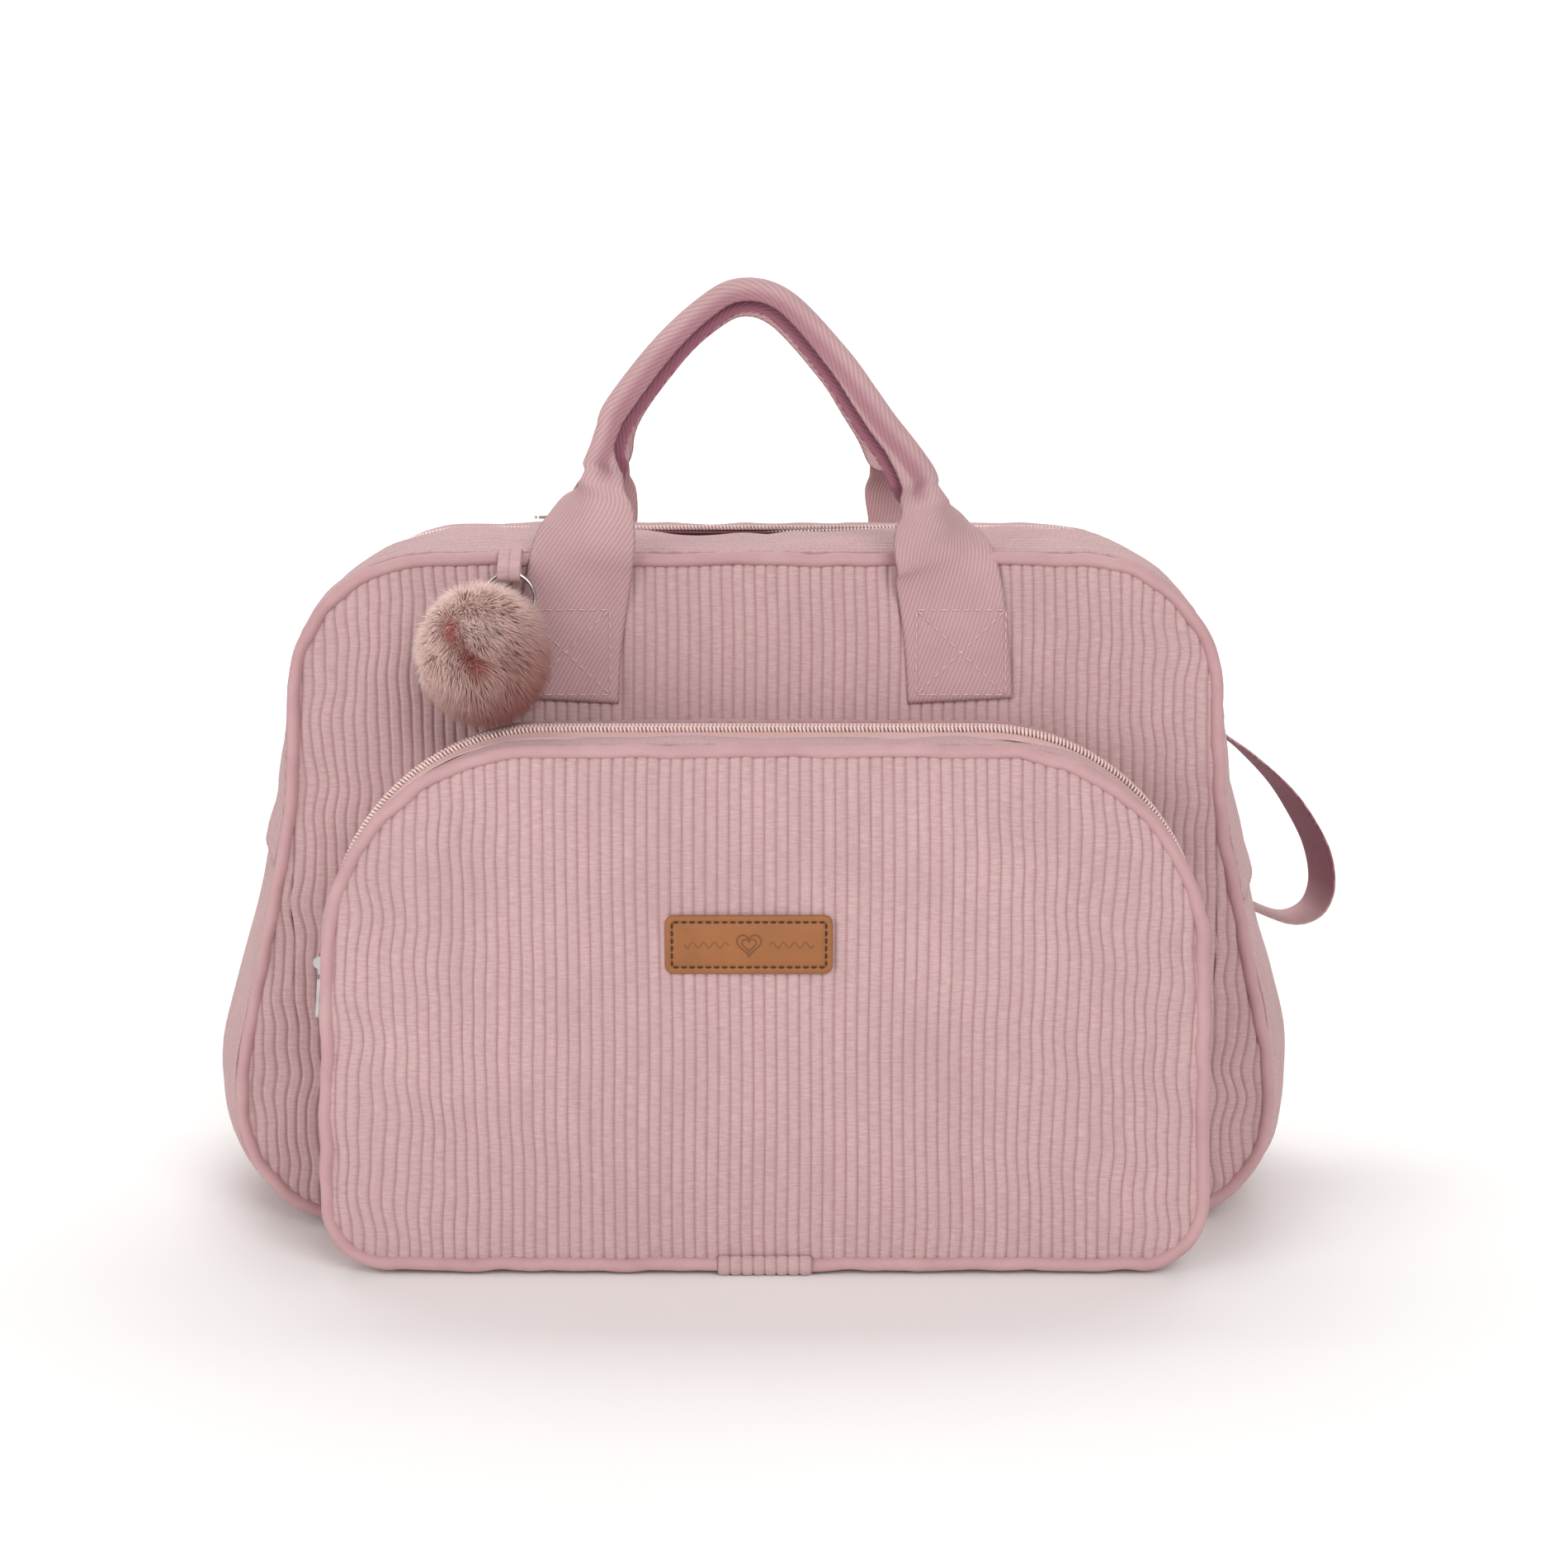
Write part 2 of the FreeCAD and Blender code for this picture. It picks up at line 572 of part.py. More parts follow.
def make_charm(front_piping):
    top = ring_top()
    centre = top - Vector(0, 0, RING_RADIUS)
    turns = [Part.makeTorus(RING_RADIUS, RING_WIRE, centre + Vector(0, side * RING_TURN / 2, 0), Vector(0, 1, 0))
             for side in (-1, 1)]
    ring = turns[0].fuse(turns[1])

    eye = EYE_RADIUS + EYE_WALL
    x0 = CHARM_X - CHARM_TAB_WIDTH / 2
    seam_y = -HALF_DEPTH - 1.0
    seam_z = BODY_HEIGHT + 0.8
    profile = [Vector(x0, seam_y, seam_z), Vector(x0, seam_y - 3.2, seam_z), Vector(x0, top.y - eye, top.z),
               Vector(x0, top.y, top.z), Vector(x0, top.y + eye, top.z - 0.5)]
    strap = Part.Face(Part.makePolygon(profile + profile[:1])).extrude(Vector(CHARM_TAB_WIDTH, 0, 0))
    barrel = Part.makeCylinder(eye, CHARM_TAB_WIDTH, Vector(x0, top.y, top.z), Vector(1, 0, 0))
    hole = Part.makeCylinder(EYE_RADIUS, FAR, Vector(-FAR / 2, top.y, top.z), Vector(1, 0, 0))
    tab = strap.fuse(barrel).cut(hole).cut(front_piping)

    ball_centre = top + Vector(*POMPOM_OFFSET)
    ball = ellipsoid(POMPOM_HALF, ball_centre)
    angle = math.radians(45)
    hook = centre + Vector(-math.sin(angle), 0, -math.cos(angle)) * RING_RADIUS
    towards = (ball_centre - hook).normalize()
    wire_way = Vector(math.cos(angle), 0, -math.sin(angle))
    major, minor = POMPOM_LOOP
    loop = Part.makeTorus(major, minor, hook + towards * 1.2, wire_way).cut(ball)
    return {"pompom_tab": tab, "pompom_ring": ring, "pompom": ball, "pompom_loop": loop}


# ---- zip sliders, built lying along X with the coil top at Z = 0 and the pull towards -X
def slider_blank(coil_depth):
    half_long = SLIDER_LONG / 2
    half_wide = SLIDER_WIDE / 2
    low = -coil_depth - SLIDER_CLEAR
    upper = box(-half_long, half_long, -half_wide, half_wide, SLIDER_CLEAR, SLIDER_CLEAR + SLIDER_PLATE)
    lower = box(-half_long, half_long, -half_wide, half_wide, low - SLIDER_PLATE, low)
    corners = [[e for e in plate.Edges if abs(e.tangentAt(e.FirstParameter).z) > 0.9] for plate in (upper, lower)]
    upper = upper.makeFillet(2.6, corners[0])
    lower = lower.makeFillet(2.6, corners[1])
    post = box(POST_AT - POST_LONG / 2, POST_AT + POST_LONG / 2, -POST_WIDE / 2, POST_WIDE / 2, low - 0.1, SLIDER_CLEAR + 0.1)
    base = SLIDER_CLEAR + SLIDER_PLATE
    ears = []
    for side in (-1, 1):
        y = side * (half_wide - EAR / 2 - 0.6)
        ear = box(-2.4, 2.4, y - EAR / 2, y + EAR / 2, base - 0.1, base + PIN_HEIGHT)
        cap = Part.makeCylinder(2.4, EAR, Vector(0, y - EAR / 2, base + PIN_HEIGHT), Vector(0, 1, 0))
        ears.append(ear.fuse(cap))
    pin = Part.makeCylinder(PIN_RADIUS, SLIDER_WIDE - 1.4, Vector(0, -half_wide + 0.7, base + PIN_HEIGHT), Vector(0, 1, 0))
    body = upper.fuse([lower, post, pin] + ears)
    return body.removeSplitter()


def pull_blank():
    """Flat pull with an eye round the pin and a long slot."""
    axis_z = SLIDER_CLEAR + SLIDER_PLATE + PIN_HEIGHT
    inside = SLIDER_WIDE / 2 - EAR - 0.6 - 0.3
    eye_radius = PIN_RADIUS + PIN_CLEAR + 0.9
    eye = Part.makeCylinder(eye_radius, 2 * inside, Vector(0, -inside, axis_z), Vector(0, 1, 0))
    neck = box(-5.0, 0.0, -inside, inside, axis_z - PULL_THICK / 2, axis_z + PULL_THICK / 2)
    tongue = box(-PULL_LONG, -4.2, -PULL_WIDE / 2, PULL_WIDE / 2, axis_z - PULL_THICK / 2, axis_z + PULL_THICK / 2)
    corners = [e for e in tongue.Edges if abs(e.tangentAt(e.FirstParameter).z) > 0.9]
    tongue = tongue.makeFillet(2.4, corners)
    window = box(-PULL_LONG + 3.5, -9.0, -1.2, 1.2, axis_z - PULL_THICK, axis_z + PULL_THICK)
    hole = Part.makeCylinder(PIN_RADIUS + PIN_CLEAR, FAR, Vector(0, -FAR / 2, axis_z), Vector(0, 1, 0))
    return eye.fuse([neck, tongue]).cut(window).cut(hole).removeSplitter()


def make_sliders():
    crown = BODY_HEIGHT + CROWN_BULGE
    coil_depth = FABRIC + TAPE
    main_slider = slider_blank(coil_depth)
    main_pull = pull_blank()
    for shape in (main_slider, main_pull):
        shape.translate(Vector(ZIP_SLIDER_X, 0, crown))

    pocket_slider = slider_blank(coil_depth)
    pocket_slider.rotate(Vector(0, 0, 0), Vector(0, 0, 1), 180)
    pocket_pull = pull_blank()
    pin_height = SLIDER_CLEAR + SLIDER_PLATE + PIN_HEIGHT
    pocket_pull.rotate(Vector(0, 0, pin_height), Vector(0, 1, 0), POCKET_SLIDER_ANGLE + PULL_HANG)
    turn_centre = pocket_shoulder_centre()
    for shape in (pocket_slider, pocket_pull):
        shape.translate(Vector(0, 0, POCKET_SHOULDER))
        shape.rotate(Vector(0, 0, 0), Vector(0, 1, 0), -90 - POCKET_SLIDER_ANGLE)
        shape.translate(Vector(turn_centre.x, POCKET_ZIP_Y, turn_centre.z))
    return {"main_zip_slider": main_slider, "main_zip_pull": main_pull,
            "pocket_zip_slider": pocket_slider, "pocket_zip_pull": pocket_pull}


def main():
    os.makedirs("parts", exist_ok=True)
    parts, outer = make_body()
    parts.update(make_pocket(parts["front_piping"]))
    parts.update(make_label())
    parts.update(make_handles())
    parts.update(make_side_loop(outer))
    parts.update(make_charm(parts["front_piping"]))
    parts.update(make_sliders())
    parts["pompom_tab"] = parts["pompom_tab"].cut(parts["front_handle_ends"])
    turn_centre = pocket_shoulder_centre()
    print("pocket slider turns about", round(turn_centre.x, 3), POCKET_ZIP_Y, round(turn_centre.z, 3))
    for name, shape in parts.items():
        shape.exportStep("parts/" + name + ".step")
        print(name, len(shape.Solids), shape.isValid(), round(shape.Volume, 1))


main()
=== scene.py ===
"""A padded corduroy changing bag: cloth, webbing, zips, label and pompom, built around its frame."""

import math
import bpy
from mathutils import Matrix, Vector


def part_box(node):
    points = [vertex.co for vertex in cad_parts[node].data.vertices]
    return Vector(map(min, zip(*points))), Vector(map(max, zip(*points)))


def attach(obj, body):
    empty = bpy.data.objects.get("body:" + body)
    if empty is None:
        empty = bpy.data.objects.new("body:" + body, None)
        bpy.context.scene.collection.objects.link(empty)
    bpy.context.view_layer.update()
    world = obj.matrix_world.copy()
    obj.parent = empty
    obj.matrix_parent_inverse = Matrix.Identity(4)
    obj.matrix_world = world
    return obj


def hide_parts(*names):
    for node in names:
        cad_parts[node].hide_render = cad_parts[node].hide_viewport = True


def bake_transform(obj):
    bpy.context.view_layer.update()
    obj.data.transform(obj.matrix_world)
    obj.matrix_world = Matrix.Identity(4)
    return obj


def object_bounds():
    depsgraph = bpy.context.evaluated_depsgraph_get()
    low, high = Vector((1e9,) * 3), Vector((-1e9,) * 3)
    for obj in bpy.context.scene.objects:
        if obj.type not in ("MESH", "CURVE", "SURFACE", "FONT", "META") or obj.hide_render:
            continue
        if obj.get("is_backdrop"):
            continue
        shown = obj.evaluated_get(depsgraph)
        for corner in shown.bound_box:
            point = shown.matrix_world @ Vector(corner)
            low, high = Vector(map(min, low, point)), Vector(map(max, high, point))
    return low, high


bl_info = {
    "name": "Corduroy changing bag",
    "version": (1, 0, 0),
    "blender": (4, 5, 0),
    "location": "3D View > Sidebar > Bag",
    "description": "Builds the cloth, webbing, zips and pompom of a padded changing bag",
    "category": "Add Mesh",
}

import bmesh
import bpy
import numpy as np
from bpy.props import FloatProperty, FloatVectorProperty, IntProperty, PointerProperty
from mathutils import Matrix, Vector, kdtree

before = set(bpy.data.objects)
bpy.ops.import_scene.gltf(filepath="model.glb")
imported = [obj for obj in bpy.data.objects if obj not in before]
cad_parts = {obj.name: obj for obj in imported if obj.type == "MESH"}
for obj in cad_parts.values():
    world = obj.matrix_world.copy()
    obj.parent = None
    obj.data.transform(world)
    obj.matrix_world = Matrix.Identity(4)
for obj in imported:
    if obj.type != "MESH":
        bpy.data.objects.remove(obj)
CAD_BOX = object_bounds()
MM = 0.001

# ---- overall sizes, from the frame
PIPING_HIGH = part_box("front_piping")[1]
HALF_WIDTH = PIPING_HIGH.x
HEIGHT = PIPING_HIGH.z
FRONT_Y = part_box("front_panel")[0].y
HALF_DEPTH = -FRONT_Y
POCKET_LOW, POCKET_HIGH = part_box("pocket_piping")
POCKET_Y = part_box("pocket_panel")[0].y
POCKET_X = (POCKET_LOW.x + POCKET_HIGH.x) / 2
POCKET_HALF = (POCKET_HIGH.x - POCKET_LOW.x) / 2
POCKET_TOP = POCKET_HIGH.z
POCKET_BASE = POCKET_LOW.z

# ---- outlines
BASE_CORNER = 48 * MM
HIP_HEIGHT = 62 * MM
HIP_RADIUS = 100 * MM
WAIST_INSET = 21.5 * MM
WAIST_DROP = 98 * MM
WAIST_RADIUS = 150 * MM
SHOULDER_INSET = 24 * MM
SHOULDER_RADIUS = 56 * MM
HIP_BULGE = 16 * MM
WAIST_BULGE = 11 * MM
CROWN_BULGE = 5.5 * MM
SHOULDER_TUCK = 8 * MM
SHOULDER_EASE = 10 * MM
POCKET_TAPER = 3.1 * MM
POCKET_BASE_CORNER = 26 * MM
POCKET_SHOULDER = 80 * MM

# ---- cloth
CLOTH = 1.6 * MM
PIPING = 2.5 * MM           # radius of the piping
TUCK = 2.2 * MM             # cloth goes this far under the piping
COLUMNS_PER_WALE = 8

# ---- main zip, as half gaps along X
ZIP_GAP_X = np.array([-0.9, -70e-3, -60e-3, -25e-3, 110e-3, 160e-3, 190e-3, 0.9])
ZIP_GAP_HALF = np.array([0, 0, 2, 5.5, 6, 3, 2, 2]) * MM
COIL = 2.4 * MM
REVEAL = 5.5 * MM           # coil and bare tape in front of the cloth's edge
TAPE_UNDER = 11 * MM
TAPE_THICK = 0.5 * MM
TOOTH_PITCH = 1.45 * MM
MAIN_COIL = (1.05 * MM, 0.42 * MM)    # radius of the coil, radius of its wire
POCKET_COIL = (1.25 * MM, 0.5 * MM)
LEFT_TAB_HEIGHT = 142 * MM
RIGHT_TAB_HEIGHT = 128 * MM
TAB_WIDTH = 34 * MM
TAB_TALL = 11 * MM
TAB_THICK = 2.4 * MM

# ---- pocket zip
POCKET_ZIP_Y = POCKET_Y + 29 * MM
POCKET_REVEAL = 9 * MM
POCKET_SINK = 0.6 * MM        # the front edge of the pocket's top hangs this much
POCKET_CROWN = 3.2 * MM       # and its zip stands this much above it
POCKET_ZIP_END = 100 * MM

# ---- handles
BEND_OUT = 3.8 * MM
END_SPREAD = 75.3 * MM
END_Z = HEIGHT - 57 * MM
SEAM_Z = HEIGHT - 21.5 * MM
LEAN = 0.17
WEBBING_HALF = 20 * MM
GRIP_HALF = 12.8 * MM
WEBBING_THICK = 1.8 * MM
ROLL = 7.6 * MM            # half the width of webbing that turns over at the fold
ROLL_SHIFT = -2.2 * MM      # the flap in front is the shorter one
TAPER = math.radians(9)     # how far the two flaps of the fold lean together
# across, above the top of the body, width of the strap in the arch's plane
FRONT_ARCH = [
    (-75.2, -56.5, 40), (-74.2, -39, 40), (-72, -21.5, 40), (-68.4, -0.6, 39.6), (-64.9, 11, 35),
    (-61.3, 22.3, 25.5), (-59.6, 32, 17), (-58.6, 39.5, 12.6), (-56.6, 46, 12.4), (-53.2, 53.8, 13.5),
    (-37, 75, 13), (-21.5, 90, 12.4), (-8.5, 97, 12.4), (7, 93, 12.4), (26, 72.5, 13.5), (36.5, 57.5, 14.4),
    (43.3, 47.5, 14.8), (50, 38.6, 15.2), (56, 28.6, 16.5), (58.6, 22.6, 20), (61.8, 14.4, 26), (65, 5, 33),
    (69, -4.6, 39), (72.2, -21.5, 40), (74.2, -39, 40), (75.2, -56.5, 40)]
BACK_ARCH = [
    (-75.2, -56.5, 40), (-74.2, -39, 40), (-72.4, -21.5, 39.6), (-69, -0.6, 37), (-65, 12, 31), (-62, 25, 22),
    (-55.5, 48, 13.5), (-36, 75.5, 13), (-20, 91, 13), (-4.6, 99, 13.5), (12.3, 93.5, 13), (33.5, 70.5, 13),
    (44, 55.6, 14), (56, 37, 17), (62, 18, 26), (67.5, 4, 34),
    (71.8, -21.5, 39.6), (74, -39, 40), (75.2, -56.5, 40)]
HANDLE_X = {"front": 3 * MM, "back": -1.5 * MM}
UNDER_HANDLE = 0.55 * MM    # the padding is pressed down to this under the sewn ends
STITCH_LONG = 3 * MM
STITCH_PITCH = 4.2 * MM

# ---- side loop: outwards from the line between its seams, below the top of the body
LOOP_Y = 40 * MM
LOOP_HALF = 15 * MM
LOOP_THICK = 1.5 * MM
LOOP_TOP_X = 180.8 * MM
LOOP_BOTTOM_X = 198.3 * MM
LOOP_TWIST = 0.22
LOOP_PATH = [
    (2.7, 72), (14.2, 83.5), (24.3, 92.5), (35.8, 106.5), (42.4, 120), (46.4, 134),
    (45.9, 148), (41.2, 158), (34.2, 163), (26, 164), (15.8, 160), (4.2, 153.5)]

# ---- camera and light
CAMERA_AT = (0.0, -1090 * MM, 328.6 * MM)
CAMERA_PITCH = 6.0
CAMERA_LENS = 61.32
CAMERA_SHIFT = (0.0183, -0.079)


# ---------------------------------------------------------------- materials
class Wire:
    """One socket of a material's nodes; arithmetic on it adds the nodes that work it out."""

    def __init__(self, tree, socket=None):
        self.tree = tree
        self.socket = socket

    def node(self, kind, settings=None, inputs=None, output=0):
        made = self.tree.nodes.new(kind)
        for key, value in (settings or {}).items():
            if key == "stops":
                while len(made.color_ramp.elements) < len(value):
                    made.color_ramp.elements.new(0.5)
                for stop, (place, colour) in zip(made.color_ramp.elements, value):
                    stop.position = place
                    stop.color = colour
            else:
                setattr(made, key, value)
        for key, value in (inputs or {}).items():
            if isinstance(value, Wire):
                self.tree.links.new(value.socket, made.inputs[key])
            else:
                made.inputs[key].default_value = value
        return Wire(self.tree, made.outputs[output])

    def math(self, operation, *values):
        return self.node("ShaderNodeMath", {"operation": operation}, dict(enumerate(values)))

    def __add__(self, other):
        return self.math("ADD", self, other)

    def __radd__(self, other):
        return self.math("ADD", other, self)

    def __sub__(self, other):
        return self.math("SUBTRACT", self, other)

    def __rsub__(self, other):
        return self.math("SUBTRACT", other, self)

    def __mul__(self, other):
        return self.math("MULTIPLY", self, other)

    def __rmul__(self, other):
        return self.math("MULTIPLY", other, self)

    def __truediv__(self, other):
        return self.math("DIVIDE", self, other)

    def clamp(self):
        return self.math("MINIMUM", self.math("MAXIMUM", self, 0.0), 1.0)

    def wave(self, turns=1.0):
        """From 0 to 1 and back as the value grows by one."""
        return self.math("SINE", self * (math.tau * turns)) * 0.5 + 0.5

    def blend_to(self, first, second, how="MIX"):
        """Colour between two colours, with this as the factor."""
        return self.node("ShaderNodeMix", {"data_type": "RGBA", "blend_type": how},
                         {0: self, 6: first, 7: second}, 2)

    def noise(self, where, scale, detail=2.0, rough=0.5):
        return self.node("ShaderNodeTexNoise", None,
                         {"Vector": where, "Scale": scale, "Detail": detail, "Roughness": rough})

    def stretched(self, where, scale):
        return self.node("ShaderNodeMapping", None, {"Vector": where, "Scale": scale})

    def axes(self, where):
        """The three numbers of a vector."""
        return [self.node("ShaderNodeSeparateXYZ", None, {0: where}, i) for i in range(3)]

    def place(self):
        """Where a point is on the object."""
        return self.node("ShaderNodeTexCoord", None, None, 3)

    def cloth(self):
        """Where a point is on its cloth."""
        return self.node("ShaderNodeUVMap", {"uv_map": "Cloth"})

    def attribute(self, name):
        """A number that the mesh carries at each of its points."""
        return self.node("ShaderNodeAttribute", {"attribute_name": name}, None, 2)

    def shaded(self, colour):
        """The colour, or its painted shade in deep plum where the cloth is tucked into a seam or a fold."""
        return self.attribute("shade").blend_to(colour, PAINTED_SHADE_PLUM)


def srgb(red, green, blue):
    """Linear colour with alpha from the usual 0 to 255 values."""
    linear = [c / 255 for c in (red, green, blue)]
    linear = [c / 12.92 if c <= 0.04045 else ((c + 0.055) / 1.055) ** 2.4 for c in linear]
    return (*linear, 1.0)


def toned(colour, share):
    """The same colour, paler or darker."""
    return (*(min(1.0, c * share) for c in colour[:3]), 1.0)


def material(name, colour, roughness, height=None, bump=0.3, depth=0.3 * MM, fixed=None):
    """A finish whose colour, roughness and height are given by functions of a Wire."""
    made = bpy.data.materials.new(name)
    made.use_nodes = True
    tree = made.node_tree
    shader = tree.nodes["Principled BSDF"]
    start = Wire(tree)
    for socket, maker in (("Base Color", colour), ("Roughness", roughness)):
        value = maker(start) if callable(maker) else maker
        if isinstance(value, Wire):
            tree.links.new(value.socket, shader.inputs[socket])
        else:
            shader.inputs[socket].default_value = value
    if height:
        normal = start.node("ShaderNodeBump", None,
                            {"Strength": bump, "Distance": depth, "Height": height(start)})
        tree.links.new(normal.socket, shader.inputs["Normal"])
    for socket, value in (fixed or {}).items():
        shader.inputs[socket].default_value = value
    return made


# deep plum painted into the cloth as shade in seams, folds and hollows
PAINTED_SHADE_PLUM = srgb(134, 68, 92)
CLOTH_SHEEN = {"Sheen Weight": 0.18, "Sheen Roughness": 0.5, "Specular IOR Level": 0.15,
               "Sheen Tint": (1.0, 0.85, 0.83, 1.0)}


def corduroy(name, ridge, groove):
    """Wide-wale pile: broad pale ridges, thin darker grooves, short nap and a cloudy brushed look."""
    def groove_mask(w):
        across = w.axes(w.cloth())[0]
        return (1.0 - w.math("ABSOLUTE", w.math("SINE", across * math.pi)) / 0.38).clamp()

    def nap(w):
        return w.noise(w.stretched(w.cloth(), (5.0, 9.0, 1.0)), 1.0, 3.0, 0.7)

    def ticks(w):
        """Short cross lines where the pile is cut."""
        return w.noise(w.stretched(w.cloth(), (0.9, 5.5, 1.0)), 1.0, 2.0, 0.5)

    def colour(w):
        cloud = w.noise(w.place(), 16.0, 4.0, 0.6)
        streak = w.noise(w.stretched(w.cloth(), (1.3, 0.16, 1.0)), 1.0, 3.0, 0.6)
        brushed = ((cloud * 0.6 + streak * 0.4 - 0.32) * 2.6).clamp()
        base = brushed.blend_to(toned(ridge, 0.86), toned(ridge, 1.08))
        speck = ((nap(w) * 0.45 + ticks(w) * 0.55 - 0.38) * 3.6).clamp()
        base = (0.5 - speck * 0.5).blend_to(base, groove)
        broken = (streak * 1.3 + nap(w) * 0.7 - 0.35).clamp()
        return w.shaded((groove_mask(w) * broken).blend_to(base, groove))

    def height(w):
        return nap(w) * 0.7 + ticks(w) * 0.3 - groove_mask(w) * 0.5

    return material(name, colour, lambda w: 0.82 + nap(w) * 0.15, height, 0.6, 0.35 * MM, CLOTH_SHEEN)


def twill(name, light, dark, pitch):
    """Webbing: steep diagonal ribs across fine threads."""
    def rib(w):
        across, along, _ = w.axes(w.cloth())
        wander = w.noise(w.place(), 60.0, 2.0) * 0.35
        return (across * 0.906 + along * 0.423) / pitch + wander

    def threads(w):
        across, along, _ = w.axes(w.cloth())
        return (across / (0.55 * MM)).wave() * (along / (0.7 * MM)).wave()

    def colour(w):
        cloud = w.noise(w.place(), 25.0, 3.0)
        base = ((cloud - 0.3) * 2.2).clamp().blend_to(dark, light)
        lines = w.math("POWER", rib(w).wave(), 2.0)
        return w.shaded((lines * 0.42 + (1.0 - threads(w)) * 0.16).clamp().blend_to(base, toned(dark, 0.62)))

    def height(w):
        return (1.0 - rib(w).wave()) + threads(w) * 0.35

    return material(name, colour, lambda w: 0.7 + rib(w).wave() * 0.15, height, 0.5, 0.35 * MM, CLOTH_SHEEN)


def plain_cloth(name, light, dark, thread=0.45 * MM):
    """Smooth woven cloth with a fine even weave."""
    def weave(w):
        across, along, _ = w.axes(w.cloth())
        return (across / thread).wave() * (along / thread).wave()

    def colour(w):
        cloud = w.noise(w.place(), 40.0, 4.0, 0.6)
        base = ((cloud - 0.3) * 2.3).clamp().blend_to(dark, light)
        return w.shaded(((1.0 - weave(w)) * 0.3).blend_to(base, toned(dark, 0.7)))

    return material(name, colour, lambda w: 0.78 + weave(w) * 0.12, weave, 0.35, 0.2 * MM, CLOTH_SHEEN)


def solid_finish(name, light, dark, scale, rough=(0.4, 0.6), bump=0.1, fixed=None):
    """A finish with a soft change of tone, for pieces whose pattern follows their place."""
    def tone(w):
        return ((w.noise(w.place(), scale, 4.0, 0.6) - 0.3) * 2.4).clamp()

    def height(w):
        return w.noise(w.place(), scale * 4.0, 3.0, 0.6)

    def roughness(w):
        return tone(w) * (rough[1] - rough[0]) + rough[0]

    return material(name, lambda w: tone(w).blend_to(dark, light), roughness, height, bump, 0.2 * MM, fixed)


def make_finishes(look):
    """Every finish of the bag, by name."""
    ridge, groove = (*look.ridge_colour, 1.0), (*look.groove_colour, 1.0)
    webbing = (*look.webbing_colour, 1.0)
    leather = (*look.leather_colour, 1.0)
    return {
        "corduroy": corduroy("corduroy", ridge, groove),
        "piping": plain_cloth("piping_cloth", srgb(208, 170, 171), srgb(192, 150, 153)),
        "webbing": twill("webbing", webbing, toned(webbing, 0.78), look.twill_pitch),
        "tape": plain_cloth("zip_tape_weave", srgb(232, 196, 194), srgb(218, 178, 176), 0.6 * MM),
        "coil": solid_finish("nylon_coil", srgb(250, 228, 222), srgb(238, 208, 202), 300.0, (0.35, 0.5)),
        "lining": plain_cloth("lining_cloth", srgb(122, 84, 94), srgb(92, 58, 70)),
        "foam": solid_finish("foam_sheet", srgb(238, 234, 226), srgb(222, 216, 206), 900.0, (0.85, 0.95),
                             0.6),
        "board": solid_finish("base_board_sheet", srgb(120, 112, 110), srgb(98, 92, 90), 120.0, (0.55, 0.7)),
        "leather": solid_finish("tan_leather", leather, toned(leather, 0.8), 70.0, (0.42, 0.6), 0.25,
                                {"Specular IOR Level": 0.4}),
        "leather_mark": solid_finish("pressed_leather", toned(leather, 0.6), toned(leather, 0.45), 220.0,
                                     (0.4, 0.55), 0.3),
        "thread": solid_finish("sewing_thread", srgb(236, 204, 204), srgb(214, 176, 178), 2500.0, (0.6, 0.7),
                               0.5),
        "label_thread": solid_finish("label_thread", srgb(84, 46, 30), srgb(54, 28, 20), 2500.0, (0.6, 0.7),
                                     0.5),
        "metal": solid_finish("nickel", srgb(214, 212, 210), srgb(186, 184, 184), 90.0, (0.16, 0.3), 0.03,
                              {"Metallic": 1.0}),
        "cord": solid_finish("elastic_cord", srgb(150, 108, 106), srgb(118, 80, 80), 1800.0, (0.7, 0.8), 0.6),
        "fur": fur_finish(look),
    }


def fur_finish(look):
    """Long pile: tone from the strand's attribute, which carries painted light and shade, dark at the root.
    """
    light, dark = (*look.fur_light, 1.0), (*look.fur_dark, 1.0)

    def colour(w):
        mottled = (w.attribute("tone") + (w.noise(w.place(), 70.0, 3.0) - 0.5) * 0.16).clamp()
        stops = [(0.0, toned(dark, 0.3)), (0.22, dark), (1.0, light)]
        return w.node("ShaderNodeValToRGB", {"stops": stops}, {0: mottled})

    fixed = {"Sheen Weight": 0.1, "Sheen Roughness": 0.4, "Specular IOR Level": 0.2}
    return material("long_fur", colour, lambda w: 0.65 + w.noise(w.place(), 300.0) * 0.2, fixed=fixed)


# ---------------------------------------------------------------- outlines
def rounded(right, centre, base, steps=20):
    """Points of a closed outline from its right-hand corners (x, z, radius), from the middle of the base."""
    corners = [(centre + x, z, r) for x, z, r in right] + [(centre - x, z, r) for x, z, r in reversed(right)]
    points = [np.array([[centre, base]])]
    share = np.linspace(0, 1, steps)[:, None]
    for i, (x, z, radius) in enumerate(corners):
        here = np.array([x, z])
        before = np.array(corners[i - 1][:2])
        after = np.array(corners[(i + 1) % len(corners)][:2])
        d0 = (here - before) / np.linalg.norm(here - before)
        d1 = (after - here) / np.linalg.norm(after - here)
        turn = math.acos(float(np.clip(d0 @ d1, -1, 1)))
        reach = radius * math.tan(turn / 2)
        inward = (d1 - d0) / np.linalg.norm(d1 - d0)
        middle = here + inward * radius / math.cos(turn / 2)
        start, end = here - d0 * reach - middle, here + d1 * reach - middle
        arc = np.sin((1 - share) * turn) * start + np.sin(share * turn) * end
        points.append(middle + arc / math.sin(turn))
    points.append(points[0])
    return np.concatenate(points)


